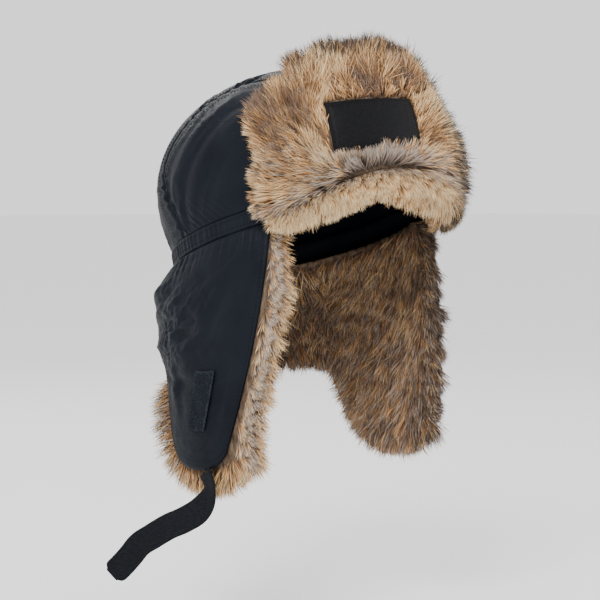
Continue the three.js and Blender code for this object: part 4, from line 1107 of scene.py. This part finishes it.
def loop_tape(name, middle_u, seed):
    """Loop tape: a thin band whose middle is a field of small standing loops."""
    u, v = grid(30, 64)
    at = tape_place(middle_u)
    across, down = (u - 0.5) * LOOP_TAPE_WIDTH, (v - 0.5) * LOOP_TAPE_HEIGHT
    rim = np.minimum(0.5 * LOOP_TAPE_WIDTH - np.abs(across), 0.5 * LOOP_TAPE_HEIGHT - np.abs(down))
    felt = 0.7 * np.clip((rim - 1.2) / 1.2, 0, 1) * (1 + 0.5 * noise(across / 1.4, down / 1.4, seed))
    outer = at(across, down, 0.9 + felt)
    piece = wall(name + "_band", outer, at(across, down, 0 * u), LOOP_TAPE)
    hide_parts(name)
    random = np.random.default_rng(seed)
    count = 1200
    x = random.uniform(-0.5, 0.5, count) * (LOOP_TAPE_WIDTH - 3.4)
    y = random.uniform(-0.5, 0.5, count) * (LOOP_TAPE_HEIGHT - 3.4)
    turn, size = random.uniform(0, np.pi, count), random.uniform(0.7, 1.3, count)
    bow = np.linspace(0, np.pi, 6)
    step = np.cos(bow)[None] * size[:, None]
    lift = 1.3 + 0.9 * np.sin(bow)[None] * size[:, None]
    rails = []
    for edge in (-0.13, 0.13):
        rails.append(at(x[:, None] + step * np.cos(turn)[:, None] - edge * np.sin(turn)[:, None],
                        y[:, None] + step * np.sin(turn)[:, None] + edge * np.cos(turn)[:, None], lift))
    points = np.stack(rails, axis=2).reshape(-1, 3)
    one = np.array([[2 * k, 2 * k + 1, 2 * k + 3, 2 * k + 2] for k in range(5)])
    faces = (one[None] + 12 * np.arange(count)[:, None, None]).reshape(-1, 4)
    fuzz = new_piece(name + "_loops", points, faces, LOOP_TAPE, np.zeros((len(points), 2)))


STRAP_PATH = np.array([
    # outwards, back and down as shares of STRAP_LENGTH, and the face's turn in degrees
    [0, 0, 0.009, -18], [-0.004, -0.037, 0.079, -14], [0.003, -0.03, 0.146, -4], [0.023, 0.016, 0.216, 8],
    [0.045, 0.122, 0.281, 22], [0.065, 0.24, 0.333, 34], [0.094, 0.356, 0.401, 42], [0.116, 0.439, 0.454, 46],
    [0.138, 0.504, 0.529, 48], [0.161, 0.56, 0.591, 48], [0.187, 0.609, 0.641, 48]])


def chin_strap():
    """A flat strap carried along its path, its face turned as the table says, with a rounded end
    and a cover of small hooks."""
    start = flap_point(np.array([STRAP_START_U]), np.array([1.0]), np.array([SEAM_GAP]))[0]
    centres = start + STRAP_PATH[:, :3] * [-STRAP_LENGTH, STRAP_LENGTH, -STRAP_LENGTH] - [0, 0, SEAM_GAP]
    line, turns = smooth_table(centres), smooth_table(STRAP_PATH[:, 3:])
    u, v = grid(150, 16)
    tangent = unit(line(u + 0.002) - line(u - 0.002))
    turn = np.radians(turns(u)[..., 0])
    face = points_of(-np.cos(turn), -np.sin(turn), 0 * turn)
    across = unit(np.cross(face, tangent))
    normal = unit(np.cross(tangent, across))
    from_end = np.clip((1 - u) / STRAP_END_ROUND, 0, 1)
    half = 0.5 * STRAP_WIDTH * np.maximum(0.6, (1 - (1 - from_end) ** 4) ** 0.5)
    place = 2 * v - 1
    edge = np.sqrt(np.maximum(1 - np.abs(place) ** 8, 0.05))
    curl = 0.5 * np.sin(2 * np.pi * u * 2.3) * place
    middle = line(u) + across * (place * half)[..., None] + normal * curl[..., None]
    hooks = 0.16 * np.cos(2 * np.pi * place * 4.5) * np.clip((1 - np.abs(place)) * 6, 0, 1)
    outer = middle + normal * (0.5 * STRAP_WALL * edge - 0.15 + hooks)[..., None]
    inner = middle - normal * (0.5 * STRAP_WALL * edge)[..., None]
    piece = wall("chin_strap_tape", outer, inner, STRAP_TAPE)
    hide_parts("chin_strap")


# The hat -------------------------------------------------------------------------------------
crown_lines = crown_strip() + crown_side(1, "crown_side_right", 5) + crown_side(-1, "crown_side_left", 15)
stitches("crown_stitching", crown_lines)
stitches("band_stitching", gathered_band())
stitches("flap_stitching", ear_neck_flap())
front_backing()
fur_mats()
grow_fur()
stitches("label_stitching", label(), 2.4, 1.7, 0.22)
inner_bindings()
loop_tape("loop_tape_right", LOOP_TAPE_U, 71)
loop_tape("loop_tape_left", 1 - LOOP_TAPE_U, 72)
chin_strap()


# Floor and light -----------------------------------------------------------------------------
def studio():
    """A pale floor below the hat, a white surround and three broad soft lights."""
    low = cad_low.z - 0.05
    reach = 30
    mesh = bpy.data.meshes.new("floor")
    mesh.from_pydata([(-reach, -reach, low), (reach, -reach, low), (reach, reach, low), (-reach, reach, low)],
                     [], [(0, 1, 2, 3)])
    floor = bpy.data.objects.new("floor", mesh)
    pale, _, _ = new_material("pale_floor", {"Base Color": (0.9, 0.9, 0.9, 1), "Roughness": 0.9})
    mesh.materials.append(pale)
    bpy.context.scene.collection.objects.link(floor)
    world = bpy.data.worlds.new("surround")
    world.use_nodes = True
    world.node_tree.nodes["Background"].inputs["Color"].default_value = (1, 1, 1, 1)
    world.node_tree.nodes["Background"].inputs["Strength"].default_value = 1.4
    bpy.context.scene.world = world
    middle = Vector((0, 0.01, 0))
    for name, place, size, power in (("key", (-1.5, -1.0, 1.3), 0.8, 48), ("fill", (1.3, -1.6, 0.6), 1.4, 14),
                                     ("rim", (0.6, 1.6, 1.2), 1.2, 12)):
        data = bpy.data.lights.new(name, "AREA")
        data.shape, data.size, data.energy = "DISK", size, power
        light = bpy.data.objects.new(name, data)
        light.location = place
        light.rotation_mode = "QUATERNION"
        light.rotation_quaternion = (middle - Vector(place)).to_track_quat("-Z", "Y")
        bpy.context.scene.collection.objects.link(light)


studio()
